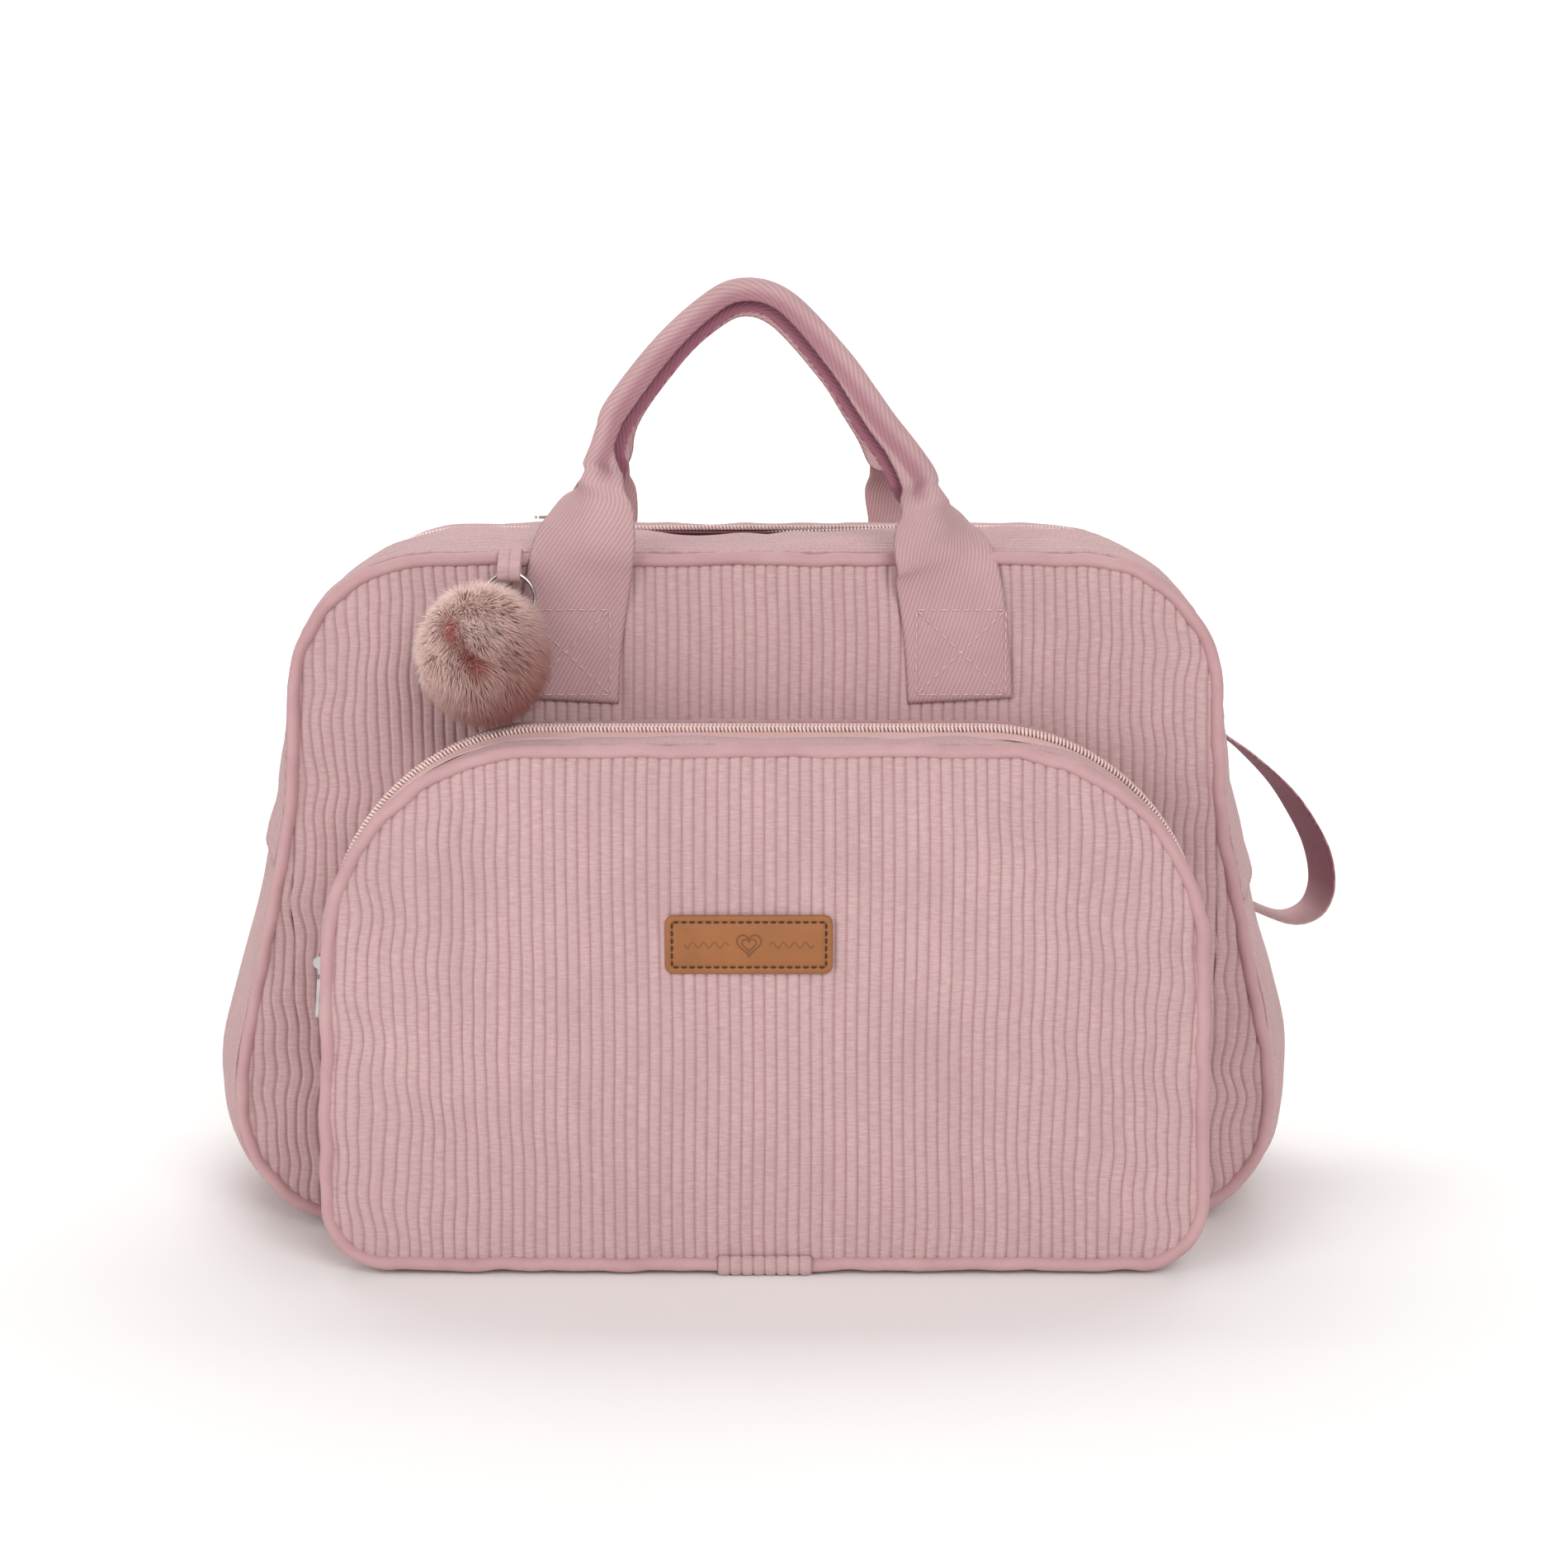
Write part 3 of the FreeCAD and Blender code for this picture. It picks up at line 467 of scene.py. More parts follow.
def body_outline(swell):
    return rounded([
        (HALF_WIDTH + HIP_BULGE * swell, 0.0, BASE_CORNER),
        (HALF_WIDTH + HIP_BULGE * swell, HIP_HEIGHT, HIP_RADIUS),
        (HALF_WIDTH - WAIST_INSET + WAIST_BULGE * swell, HEIGHT - WAIST_DROP, WAIST_RADIUS),
        (HALF_WIDTH - SHOULDER_INSET - SHOULDER_TUCK * swell, HEIGHT + CROWN_BULGE * swell,
         SHOULDER_RADIUS + SHOULDER_EASE * swell)],
        0.0, 0.0)


class Seam:
    """A closed outline in the XZ plane, walked from the middle of its base, that can swell."""

    def __init__(self, plain, full=None):
        self.plain = plain
        self.full = plain if full is None else full
        steps = np.linalg.norm(np.diff(plain, axis=0), axis=1)
        self.marks = np.concatenate([[0.0], np.cumsum(steps)])
        self.length = self.marks[-1]

    def at(self, s, swell=0.0):
        s = np.mod(s, self.length)
        both = []
        for axis in (0, 1):
            plain = np.interp(s, self.marks, self.plain[:, axis])
            full = np.interp(s, self.marks, self.full[:, axis])
            both.append(plain + (full - plain) * swell)
        return both

    def outward(self, s, swell=0.0):
        reach = 1.5 * MM
        x0, z0 = self.at(s - reach, swell)
        x1, z1 = self.at(s + reach, swell)
        size = np.hypot(x1 - x0, z1 - z0)
        return (z1 - z0) / size, (x0 - x1) / size

    def skin(self, s, y, out, swell=0.0):
        """Points on the band that stands on the outline, moved outwards."""
        x, z = self.at(s, swell)
        nx, nz = self.outward(s, swell)
        return settled(np.stack([x + nx * out, y + 0 * x, z + nz * out], axis=-1))

    def at_height(self, side, height):
        """How far along the outline its right (1) or left (-1) side is at a height."""
        s = np.linspace(0, self.length / 2, 3000)
        _, z = self.at(s if side > 0 else self.length - s)
        found = np.interp(height, z, s)
        return found if side > 0 else self.length - found

    def spans(self, inset):
        """The lower and the upper side of the outline, each as x and z with x growing."""
        s = np.linspace(0, self.length, 2400, endpoint=False)
        x, z = self.at(s)
        nx, nz = self.outward(s)
        x, z = x - nx * inset, z - nz * inset
        right, left = int(np.argmax(x)), int(np.argmin(x))
        lower = np.concatenate([np.arange(left, len(s)), np.arange(0, right + 1)])
        upper = np.arange(right, left + 1)[::-1]
        return [(np.maximum.accumulate(x[i]), z[i]) for i in (lower, upper)]

    def depth(self, x, z):
        """How far points are from the outline, and how far along it they are."""
        s = np.linspace(0, self.length, 1600, endpoint=False)
        edge = np.stack(self.at(s), axis=-1)
        tree = kdtree.KDTree(len(s))
        for i, (ex, ez) in enumerate(edge):
            tree.insert((ex, 0.0, ez), i)
        tree.balance()
        found = [tree.find((px, 0.0, pz)) for px, pz in zip(x, z)]
        return np.array([f[2] for f in found]), s[[f[1] for f in found]]


BODY = Seam(body_outline(0.0), body_outline(1.0))
POCKET = Seam(rounded([(POCKET_HALF, POCKET_BASE, POCKET_BASE_CORNER),
                       (POCKET_HALF - POCKET_TAPER, POCKET_TOP, POCKET_SHOULDER)], POCKET_X, POCKET_BASE))


def swell_at(y):
    """The gusset swells most at half the depth."""
    return np.clip(1.0 - (y / HALF_DEPTH) ** 2, 0.0, 1.0)


def settled(points):
    """The top of the pocket: its front edge hangs a little and its zip stands up between the seams."""
    share = np.clip((FRONT_Y - points[:, 1]) / (FRONT_Y - POCKET_Y), 0.0, 1.0)
    top = np.clip(points[:, 2] / POCKET_TOP, 0.0, 1.0) ** 5
    dip = np.interp(share, (0.0, 0.3, 0.36, 0.5, 0.66, 0.72, 1.0),
                    (0.0, 0.94 * POCKET_CROWN, POCKET_CROWN, 0.28 * POCKET_CROWN, -0.72 * POCKET_SINK,
                     -0.85 * POCKET_SINK, -POCKET_SINK)) * top
    return points + np.stack([0 * dip, 0 * dip, dip], axis=-1)


def zip_gap(x):
    return np.interp(x, ZIP_GAP_X, ZIP_GAP_HALF)


def field(seed, count, smallest, largest):
    """A smooth random function of two lengths, about -1 to 1, with waves between two lengths."""
    rng = np.random.default_rng(seed)
    turns = rng.uniform(0, math.tau, count)
    phases = rng.uniform(0, math.tau, count)
    rates = math.tau / np.exp(rng.uniform(math.log(smallest), math.log(largest), count))

    def value(a, b):
        total = 0.0 * a
        for turn, phase, rate in zip(turns, phases, rates):
            total = total + np.sin((a * math.cos(turn) + b * math.sin(turn)) * rate + phase)
        return total / math.sqrt(count)
    return value


# ---------------------------------------------------------------- mesh work
def laid(name, columns, rows, place):
    """A grid of faces put in place by a function of (u, v).

    The function gives points, cloth coordinates and, where a seam or a fold shades the cloth, how much
    painted shade it gets.
    """
    bm = bmesh.new()
    bmesh.ops.create_grid(bm, x_segments=columns, y_segments=rows, size=0.5)
    mesh = bpy.data.meshes.new(name)
    bm.to_mesh(mesh)
    bm.free()
    flat = np.empty(len(mesh.vertices) * 3)
    mesh.vertices.foreach_get("co", flat)
    flat = flat.reshape(-1, 3)
    points, cloth, *shade = place(flat[:, 0] + 0.5, flat[:, 1] + 0.5)
    mesh.vertices.foreach_set("co", np.ascontiguousarray(points, dtype=np.float32).ravel())
    # painted shade, which the cloth finishes turn to deep plum
    dark = mesh.attributes.new("shade", "FLOAT", "POINT")
    dark.data.foreach_set("value", np.ascontiguousarray(np.clip(shade[0], 0, 1) if shade else 0 * flat[:, 0],
                                                        dtype=np.float32))
    layer = mesh.uv_layers.new(name="Cloth")
    corners = np.empty(len(mesh.loops), dtype=np.int32)
    mesh.loops.foreach_get("vertex_index", corners)
    layer.data.foreach_set("uv", np.ascontiguousarray(cloth[corners], dtype=np.float32).ravel())
    return mesh


def joined(mesh, fill=False):
    """Merges the places where a grid meets itself, fills open ends and turns every face outwards."""
    bm = bmesh.new()
    bm.from_mesh(mesh)
    bmesh.ops.remove_doubles(bm, verts=bm.verts, dist=0.001 * MM)
    if fill:
        bmesh.ops.holes_fill(bm, edges=[e for e in bm.edges if e.is_boundary], sides=0)
    bmesh.ops.recalc_face_normals(bm, faces=bm.faces)
    bm.to_mesh(mesh)
    bm.free()
    return mesh


def made(name, mesh, finish, body, slot, stands_for=()):
    """The finished piece: its mesh, its finish, the body it moves with and the nodes it stands for."""
    piece = bpy.data.objects.new(name, mesh)
    mesh.name = name
    bpy.context.scene.collection.objects.link(piece)
    mesh.materials.append(finish)
    mesh.polygons.foreach_set("use_smooth", [True] * len(mesh.polygons))
    if body:
        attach(piece, body)
    if stands_for:
        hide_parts(*stands_for)
    return piece


def thick(piece, depth):
    """Gives a sheet its thickness, inwards from its face."""
    wall = piece.modifiers.new("thickness", "SOLIDIFY")
    wall.thickness = depth
    wall.offset = -1.0
    wall.use_even_offset = False
    return piece


def swept(name, path, radius, sides, closed=False):
    """A round tube of a few sides that follows a line of points."""
    path = np.asarray(path, dtype=float)
    if closed:
        path = np.concatenate([path, path[:1]])
    ways = np.gradient(path, axis=0)
    if closed:
        ways[0] = ways[-1] = path[1] - path[-2]
    ways /= np.linalg.norm(ways, axis=1)[:, None]
    first = np.empty_like(path)
    side = np.cross(ways[0], (0.0, 1.0, 0.0))
    if np.linalg.norm(side) < 0.1:
        side = np.cross(ways[0], (0.0, 0.0, 1.0))
    for i, way in enumerate(ways):
        side = side - way * (side @ way)
        side = side / np.linalg.norm(side)
        first[i] = side
    second = np.cross(ways, first)
    along = np.concatenate([[0.0], np.cumsum(np.linalg.norm(np.diff(path, axis=0), axis=1))])
    last = len(path) - 1

    def place(u, v):
        row = np.clip(np.rint(v * last).astype(int), 0, last)
        turn = u * math.tau
        size = radius(along[row], turn) if callable(radius) else radius
        ring = np.cos(turn)[:, None] * first[row] + np.sin(turn)[:, None] * second[row]
        points = path[row] + ring * np.broadcast_to(size, turn.shape)[:, None]
        return points, np.stack([turn * PIPING, along[row]], axis=-1)

    return joined(laid(name, sides, last, place), fill=not closed)


def smooth_line(spots, count):
    """Points at even steps on a smooth line through the spots (each a row of numbers)."""
    spots = np.asarray(spots, dtype=float)
    ends = np.vstack([2 * spots[0] - spots[1], spots, 2 * spots[-1] - spots[-2]])
    fine = []
    t = np.linspace(0, 1, 24, endpoint=False)[:, None]
    for i in range(1, len(ends) - 2):
        p0, p1, p2, p3 = ends[i - 1:i + 3]
        fine.append(0.5 * (2 * p1 + (p2 - p0) * t + (2 * p0 - 5 * p1 + 4 * p2 - p3) * t ** 2
                           + (3 * p1 - p0 - 3 * p2 + p3) * t ** 3))
    fine.append(spots[-1:])
    fine = np.concatenate(fine)
    marks = np.concatenate([[0.0], np.cumsum(np.linalg.norm(np.diff(fine[:, :3], axis=0), axis=1))])
    even = np.linspace(0, marks[-1], count)
    return np.stack([np.interp(even, marks, fine[:, i]) for i in range(fine.shape[1])], axis=-1), even


def repeated(name, shape, count, place):
    """Many copies of one small shape; place moves the copies' vertices, an array (count, vertices, 3)."""
    base = np.array([v.co for v in shape.vertices])
    faces = [list(p.vertices) for p in shape.polygons]
    points = place(np.broadcast_to(base, (count, *base.shape)))
    mesh = bpy.data.meshes.new(name)
    shifts = np.arange(count) * len(base)
    copies = [[i + shift for i in face] for shift in shifts.tolist() for face in faces]
    mesh.from_pydata(points.reshape(-1, 3), [], copies)
    return mesh


# ---------------------------------------------------------------- corduroy
def wale_height(phase, relief):
    """Height of the pile over one wale: a round ridge with a narrow groove at whole numbers."""
    return relief * (np.minimum(np.abs(np.sin(math.pi * phase)) / 0.72, 1.0) ** 0.7 - 1.0)


def panel_mesh(name, seam, face_y, facing, bag, crown, crown_reach, flat_zones=(), seed=1):
    """A padded panel of corduroy: wales run upright, and the edge tucks under the piping."""
    wale = bag.wale
    lower, upper = seam.spans(TUCK)
    x0, x1 = lower[0][0] + 0.2 * MM, lower[0][-1] - 0.2 * MM
    middle = (x0 + x1) / 2
    half_wales = math.floor((x1 - x0) / 2 / wale) + 1
    columns = 2 * half_wales * COLUMNS_PER_WALE
    rolling = field(seed, 9, 70 * MM, 220 * MM)
    wander = field(seed + 1, 7, 45 * MM, 160 * MM)
    rumple = field(seed + 2, 9, 22 * MM, 60 * MM)
    ripple = field(seed + 3, 9, 18 * MM, 48 * MM)

    def place(u, v):
        count = (u - 0.5) * 2 * half_wales
        x = np.clip(middle + count * wale, x0, x1)
        low = np.interp(x, *lower)
        high = np.interp(x, *upper)
        z = low + (high - low) * v
        depth, along = seam.depth(x, z)
        edge = np.clip(np.abs(x - middle) / (x1 - middle), 0, 1) ** 3
        slack = np.clip(depth / (14 * MM), 0, 1)
        shifted = x + (wander(x * 0.35, z) * 0.4 + ripple(x * 0.6, z) * 1.5 * edge) * bag.waver * slack
        out = crown * (1.0 - np.exp(-depth / crown_reach)) - 1.3 * MM * np.exp(-(depth / (2.6 * MM)) ** 2)
        out = out + rolling(x, z) * 0.8 * MM * np.clip(depth / (30 * MM), 0, 1)
        out = out + rumple(x, z) * 0.8 * MM * edge * np.clip(depth / (10 * MM), 0, 1)
        pucker = np.sin(along / (8.5 * MM) * math.tau + 2.0 * np.sin(along / (61 * MM)))
        out = out + pucker * 0.3 * MM * np.exp(-depth / (9 * MM))
        for zone_x, zone_half, zone_low, limit in flat_zones:
            inside = np.clip((zone_half + 6 * MM - np.abs(x - zone_x)) / (6 * MM), 0, 1)
            inside = inside * np.clip((z - zone_low + 6 * MM) / (6 * MM), 0, 1)
            out = out + (np.minimum(out, limit) - out) * inside
        out = np.maximum(out + wale_height(count, bag.relief) + 0.25 * bag.relief, -1.15 * MM)
        notch = 0.6 + 0.4 * np.cos(count * math.tau)
        # painted seam shade where the panel tucks under the piping
        shade = 0.85 * np.exp(-(np.maximum(depth - 1.0 * MM * notch, 0) / (1.1 * MM)) ** 2)
        points = np.stack([shifted, face_y + facing * out, z], axis=-1)
        return settled(points), np.stack([count, z / wale], axis=-1), shade

    longest = (upper[1].max() - lower[1].min())
    mesh = laid(name, columns, int(longest / (3.4 * MM)), place)
    return backed(mesh, face_y - facing * CLOTH)


def backed(mesh, back_y):
    """Closes a panel: its rim goes back to a flat lining face."""
    bm = bmesh.new()
    bm.from_mesh(mesh)
    bmesh.ops.remove_doubles(bm, verts=bm.verts, dist=0.001 * MM)
    rim = [e for e in bm.edges if e.is_boundary]
    grown = bmesh.ops.extrude_edge_only(bm, edges=rim)["geom"]
    for vert in (g for g in grown if isinstance(g, bmesh.types.BMVert)):
        vert.co.y = back_y
    bmesh.ops.holes_fill(bm, edges=[g for g in grown if isinstance(g, bmesh.types.BMEdge)], sides=0)
    bmesh.ops.recalc_face_normals(bm, faces=bm.faces)
    bm.to_mesh(mesh)
    bm.free()
    return mesh


def foam_mesh(name, seam, front_y, back_y, inset):
    """A flat sheet of foam inside an outline."""
    lower, upper = seam.spans(inset)
    x0, x1 = lower[0][0], lower[0][-1]

    def place(u, v):
        x = x0 + (x1 - x0) * (0.5 - 0.5 * np.cos(math.pi * u))
        low, high = np.interp(x, *lower), np.interp(x, *upper)
        z = low + (high - low) * v
        return np.stack([x, front_y + 0 * x, z], axis=-1), np.stack([x, z], axis=-1)

    return backed(laid(name, 60, 30, place), back_y)


def band_mesh(name, seam, s0, s1, edge_a, edge_b, bag, swelling, seed, row=3.6 * MM, sag=None, hump=0.0):
    """A strip of corduroy that stands on the outline between two depths, with its wales along it."""
    width = abs(float(np.mean(edge_b(np.linspace(-0.1, 0.1, 9)) - edge_a(np.linspace(-0.1, 0.1, 9)))))
    wales = max(1, round(width / bag.wale))
    rolling = field(seed, 9, 60 * MM, 200 * MM)
    rumple = field(seed + 1, 9, 14 * MM, 45 * MM)

    def place(u, v):
        s = s0 + (s1 - s0) * v
        x, _ = seam.at(s)
        near, far = edge_a(x), edge_b(x)
        y = near + (far - near) * u
        swell = swell_at(y) if swelling else 0.0
        from_seam = np.abs(y - (edge_a(x) if abs(near[0]) > abs(far[0]) else edge_b(x)))
        free = np.clip(from_seam / (12 * MM), 0, 1)
        out = wale_height(u * wales, bag.relief) + rolling(y, s) * 0.6 * MM * free
        out = out + rumple(y * 0.5, s) * 0.45 * MM * free
        pucker = np.sin(s / (7.5 * MM) * math.tau + 1.7 * np.sin(s / (53 * MM)))
        out = out + pucker * 0.3 * MM * np.exp(-from_seam / (7 * MM))
        out = out + hump * np.sin(math.pi * u) ** 0.8 - 0.9 * MM * np.exp(-(from_seam / (1.8 * MM)) ** 2)
        # painted shade along the seams of the strip
        shade = 0.75 * np.exp(-(from_seam / (1.3 * MM)) ** 2)
        out = np.maximum(out, -1.3 * MM)
        if sag:
            out = out - sag(x) * u ** 2
        points = seam.skin(s, y, out, swell)
        points[:, 2] = np.maximum(points[:, 2], CLOTH * 0.1)
        return points, np.stack([u * wales, s / bag.wale], axis=-1), shade

    return laid(name, wales * COLUMNS_PER_WALE, int(abs(s1 - s0) / row), place)


def declared_sheet(piece, width, length):
    """Gives back the piece as it is."""
    return piece


class BAG_OT_panels(bpy.types.Operator):
    """Front, back and pocket panels of padded corduroy"""
    bl_idname = "bag.panels"
    bl_label = "Padded panels"

    def execute(self, context):
        bag = context.scene.bag_cloth
        zones = {name: [(x + leg * END_SPREAD, WEBBING_HALF, END_Z, UNDER_HANDLE) for leg in (-1, 1)]
                 for name, x in HANDLE_X.items()}
        plan = [
            ("front_panel", BODY, FRONT_Y, -1, 1.8 * MM, 26 * MM, zones["front"], 11),
            ("back_panel", BODY, HALF_DEPTH, 1, 3.5 * MM, 34 * MM, zones["back"], 37),
            ("pocket_panel", POCKET, POCKET_Y, -1, 3.4 * MM, 24 * MM, (), 23)]
        for node, seam, face_y, facing, crown, reach, flat_zones, seed in plan:
            mesh = panel_mesh(node, seam, face_y, facing, bag, crown, reach, flat_zones, seed)
            piece = made(node + "_corduroy", mesh, FINISH["corduroy"], "bag_body", "corduroy", (node,))
        return {"FINISHED"}


class BAG_OT_gussets(bpy.types.Operator):
    """Lower gusset, the two strips beside the main zip, and the strips of the pocket"""
    bl_idname = "bag.gussets"
    bl_label = "Gussets"

    def execute(self, context):
        bag = context.scene.bag_cloth
        right = BODY.at_height(1, RIGHT_TAB_HEIGHT)
        left = BODY.at_height(-1, LEFT_TAB_HEIGHT)
        under = HALF_DEPTH - 1.4 * MM

        def steady(y):
            return lambda x: y + 0 * x

        def zip_edge(side):
            return lambda x: side * (zip_gap(x) + REVEAL)

        lower = band_mesh("lower", BODY, left - BODY.length, right, steady(-under), steady(under), bag,
                          True, 51, 4.4 * MM)
        front = band_mesh("front", BODY, right, left, steady(-under), zip_edge(-1), bag, True, 61,
                          sag=mouth_sag, hump=1.8 * MM)
        back = band_mesh("back", BODY, right, left, zip_edge(1), steady(under), bag, True, 71, hump=1.4 * MM)
        pocket_right = POCKET.at_height(1, POCKET_ZIP_END)
        pocket_left = POCKET.at_height(-1, POCKET_ZIP_END)
        near, far = POCKET_Y + 1.4 * MM, FRONT_Y + 0.5 * MM
        zip_near, zip_far = POCKET_ZIP_Y - POCKET_REVEAL, POCKET_ZIP_Y + POCKET_REVEAL
        pocket_lower = band_mesh("pocket_lower", POCKET, pocket_left - POCKET.length, pocket_right,
                                 steady(near), steady(far), bag, False, 81)
        strip_front = band_mesh("strip_front", POCKET, pocket_right, pocket_left, steady(near),
                                steady(zip_near), bag, False, 91)
        strip_back = band_mesh("strip_back", POCKET, pocket_right, pocket_left, steady(zip_far), steady(far),
                               bag, False, 101)
        zip_long = pocket_left - pocket_right
        plan = [
            ("lower_gusset", lower, BODY.length + right - left, 2 * under, "base_board"),
            ("top_gusset_front", front, left - right, under - REVEAL, "foam_front"),
            ("top_gusset_back", back, left - right, under - REVEAL, "foam_back"),
            ("pocket_lower_gusset", pocket_lower, POCKET.length - zip_long, far - near, "pocket_lining"),
            ("pocket_strip_front", strip_front, zip_long, zip_near - near, "pocket_lining"),
            ("pocket_strip_back", strip_back, zip_long, far - zip_far, "pocket_lining")]
        for node, mesh, length, width, rests in plan:
            piece = made(node + "_corduroy", mesh, FINISH["corduroy"], "bag_body", "corduroy", (node,))
            declared_sheet(thick(piece, CLOTH), width, length)
        return {"FINISHED"}


def mouth_sag(x):
    """The front strip hangs a little where the zip is open."""
    open_part = np.exp(-((x + 28 * MM) / (34 * MM)) ** 2)
    return 4.0 * MM * open_part + 0.6 * MM * np.sin(x / (19 * MM)) * np.clip(zip_gap(x) / (5 * MM), 0, 1)


class BAG_OT_piping(bpy.types.Operator):
    """Cloth-covered cord round the three panels"""
    bl_idname = "bag.piping"
    bl_label = "Piping"

    def execute(self, context):
        for node, seam, y in (("front_piping", BODY, FRONT_Y), ("back_piping", BODY, HALF_DEPTH),
                              ("pocket_piping", POCKET, POCKET_Y)):
            count = int(seam.length / (2.6 * MM))
            s = np.linspace(0, seam.length, count, endpoint=False)
            rumple = field(len(node), 7, 9 * MM, 40 * MM)
            dip = 0.35 * MM * rumple(s, s * 0.0)
            path = seam.skin(s, y, -PIPING + dip)
            path[:, 2] = np.maximum(path[:, 2], PIPING * 1.08)
            pull = field(len(node) + 5, 9, 7 * MM, 22 * MM)

            def radius(along, turn, pull=pull):
                return PIPING * (1.0 + 0.035 * pull(along, turn * PIPING))

            mesh = swept(node, path, radius, 14, closed=True)
            made(node + "_cloth", mesh, FINISH["piping"], "bag_body", "piping", (node,))
        return {"FINISHED"}


# ---------------------------------------------------------------- zips
def zip_path(seam, s0, s1, y_of, out, swelling, step):
    """Points along a zip."""
    s = np.linspace(s0, s1, max(8, int(abs(s1 - s0) / step)))
    x, _ = seam.at(s)
    y = y_of(x)
    swell = swell_at(y) if swelling else 0.0
    return seam.skin(s, y, out(x) if callable(out) else out, swell)


def coil_mesh(name, path, radius, wire):
    """A row of nylon coil: one long spring wound along a line."""
    marks = np.concatenate([[0.0], np.cumsum(np.linalg.norm(np.diff(path, axis=0), axis=1))])
    per_turn = 8
    count = int(marks[-1] / TOOTH_PITCH * per_turn)
    along = np.linspace(0, marks[-1], count)
    centre = np.stack([np.interp(along, marks, path[:, i]) for i in range(3)], axis=-1)
    way = np.gradient(centre, axis=0)
    way /= np.linalg.norm(way, axis=1)[:, None]
    across = np.broadcast_to((0.0, 1.0, 0.0), way.shape)
    up = np.cross(way, across)
    turn = along / TOOTH_PITCH * math.tau
    helix = centre + radius * (np.cos(turn)[:, None] * across + 0.8 * np.sin(turn)[:, None] * up)
    return swept(name, helix, wire, 4)


def mouth_painted_shade(x, u):
    """Painted shade on the tape where it lies in the dark of the open zip."""
    return 0.9 * np.clip((zip_gap(x) - 1.5 * MM) / (2.5 * MM), 0, 1) * np.clip(u * 6, 0, 1)


def tape_mesh(name, seam, s0, s1, side_near, side_far, out, swelling, painted_shade_of):
    """Woven tape beside a coil."""
    def place(u, v):
        s = s0 + (s1 - s0) * v
        x, _ = seam.at(s)
        near, far = side_near(x), side_far(x)
        y = near + (far - near) * u
        swell = swell_at(y) if swelling else 0.0
        lift = out(x) * (1.0 - u) if callable(out) else out
        points = seam.skin(s, y, lift - 0.9 * MM, swell)
        # the last value is the tape's painted shade
        return points, np.stack([y, s], axis=-1), painted_shade_of(x, u)

    return laid(name, 10, int(abs(s1 - s0) / (4 * MM)), place)


class BAG_OT_zips(bpy.types.Operator):
    """Coils and tapes of both zips"""
    bl_idname = "bag.zips"
    bl_label = "Zips"

    def execute(self, context):
        right = BODY.at_height(1, RIGHT_TAB_HEIGHT)
        left = BODY.at_height(-1, LEFT_TAB_HEIGHT)
        pocket_right = POCKET.at_height(1, POCKET_ZIP_END)
        slider_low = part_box("pocket_zip_slider")[0].z
        pocket_left = POCKET.at_height(-1, slider_low + 5 * MM)
        for name, side in (("front", -1), ("back", 1)):
            def centre(x, side=side):
                return side * (zip_gap(x) + COIL / 2)

            def near(x, side=side):
                return side * (zip_gap(x) + COIL * 0.5)

            def far(x, side=side):
                return side * (zip_gap(x) + TAPE_UNDER)

            drop = (lambda x: -mouth_sag(x)) if side < 0 else (lambda x: 0 * x)
            coil_out = (lambda x, drop=drop: drop(x) - 0.5 * MM)
            path = zip_path(BODY, right, left, centre, coil_out, True, 3 * MM)
            mesh = coil_mesh(name, path, *MAIN_COIL)
            made("main_coil_" + name, mesh, FINISH["coil"], "bag_body", "zip_coil",
                 ("main_zip_coil_" + name,))
            tape = tape_mesh(name, BODY, right, left, near, far, drop, True, mouth_painted_shade)
            piece = made("main_tape_" + name, tape, FINISH["tape"], "bag_body", "zip_tape",
                         ("main_zip_tape_" + name,))
            declared_sheet(thick(piece, TAPE_THICK), TAPE_UNDER, left - right)

            def pocket_centre(x, side=side):
                return POCKET_ZIP_Y + side * COIL / 2 + 0 * x

            def pocket_far(x, side=side):
                return POCKET_ZIP_Y + side * TAPE_UNDER + 0 * x

            path = zip_path(POCKET, pocket_right, pocket_left, pocket_centre, 0.5 * MM, False, 3 * MM)
            mesh = coil_mesh(name, path, *POCKET_COIL)
            made("pocket_coil_" + name, mesh, FINISH["coil"], "bag_body", "zip_coil",
                 ("pocket_zip_coil_" + name,))
            tape = tape_mesh(name, POCKET, pocket_right, pocket_left, pocket_centre, pocket_far, 0.1 * MM,
                             False, lambda x, u: 0 * u)
            piece = made("pocket_tape_" + name, tape, FINISH["tape"], "bag_body", "zip_tape",
                         ("pocket_zip_tape_" + name,))
            declared_sheet(thick(piece, TAPE_THICK), TAPE_UNDER, pocket_left - pocket_right)
        return {"FINISHED"}


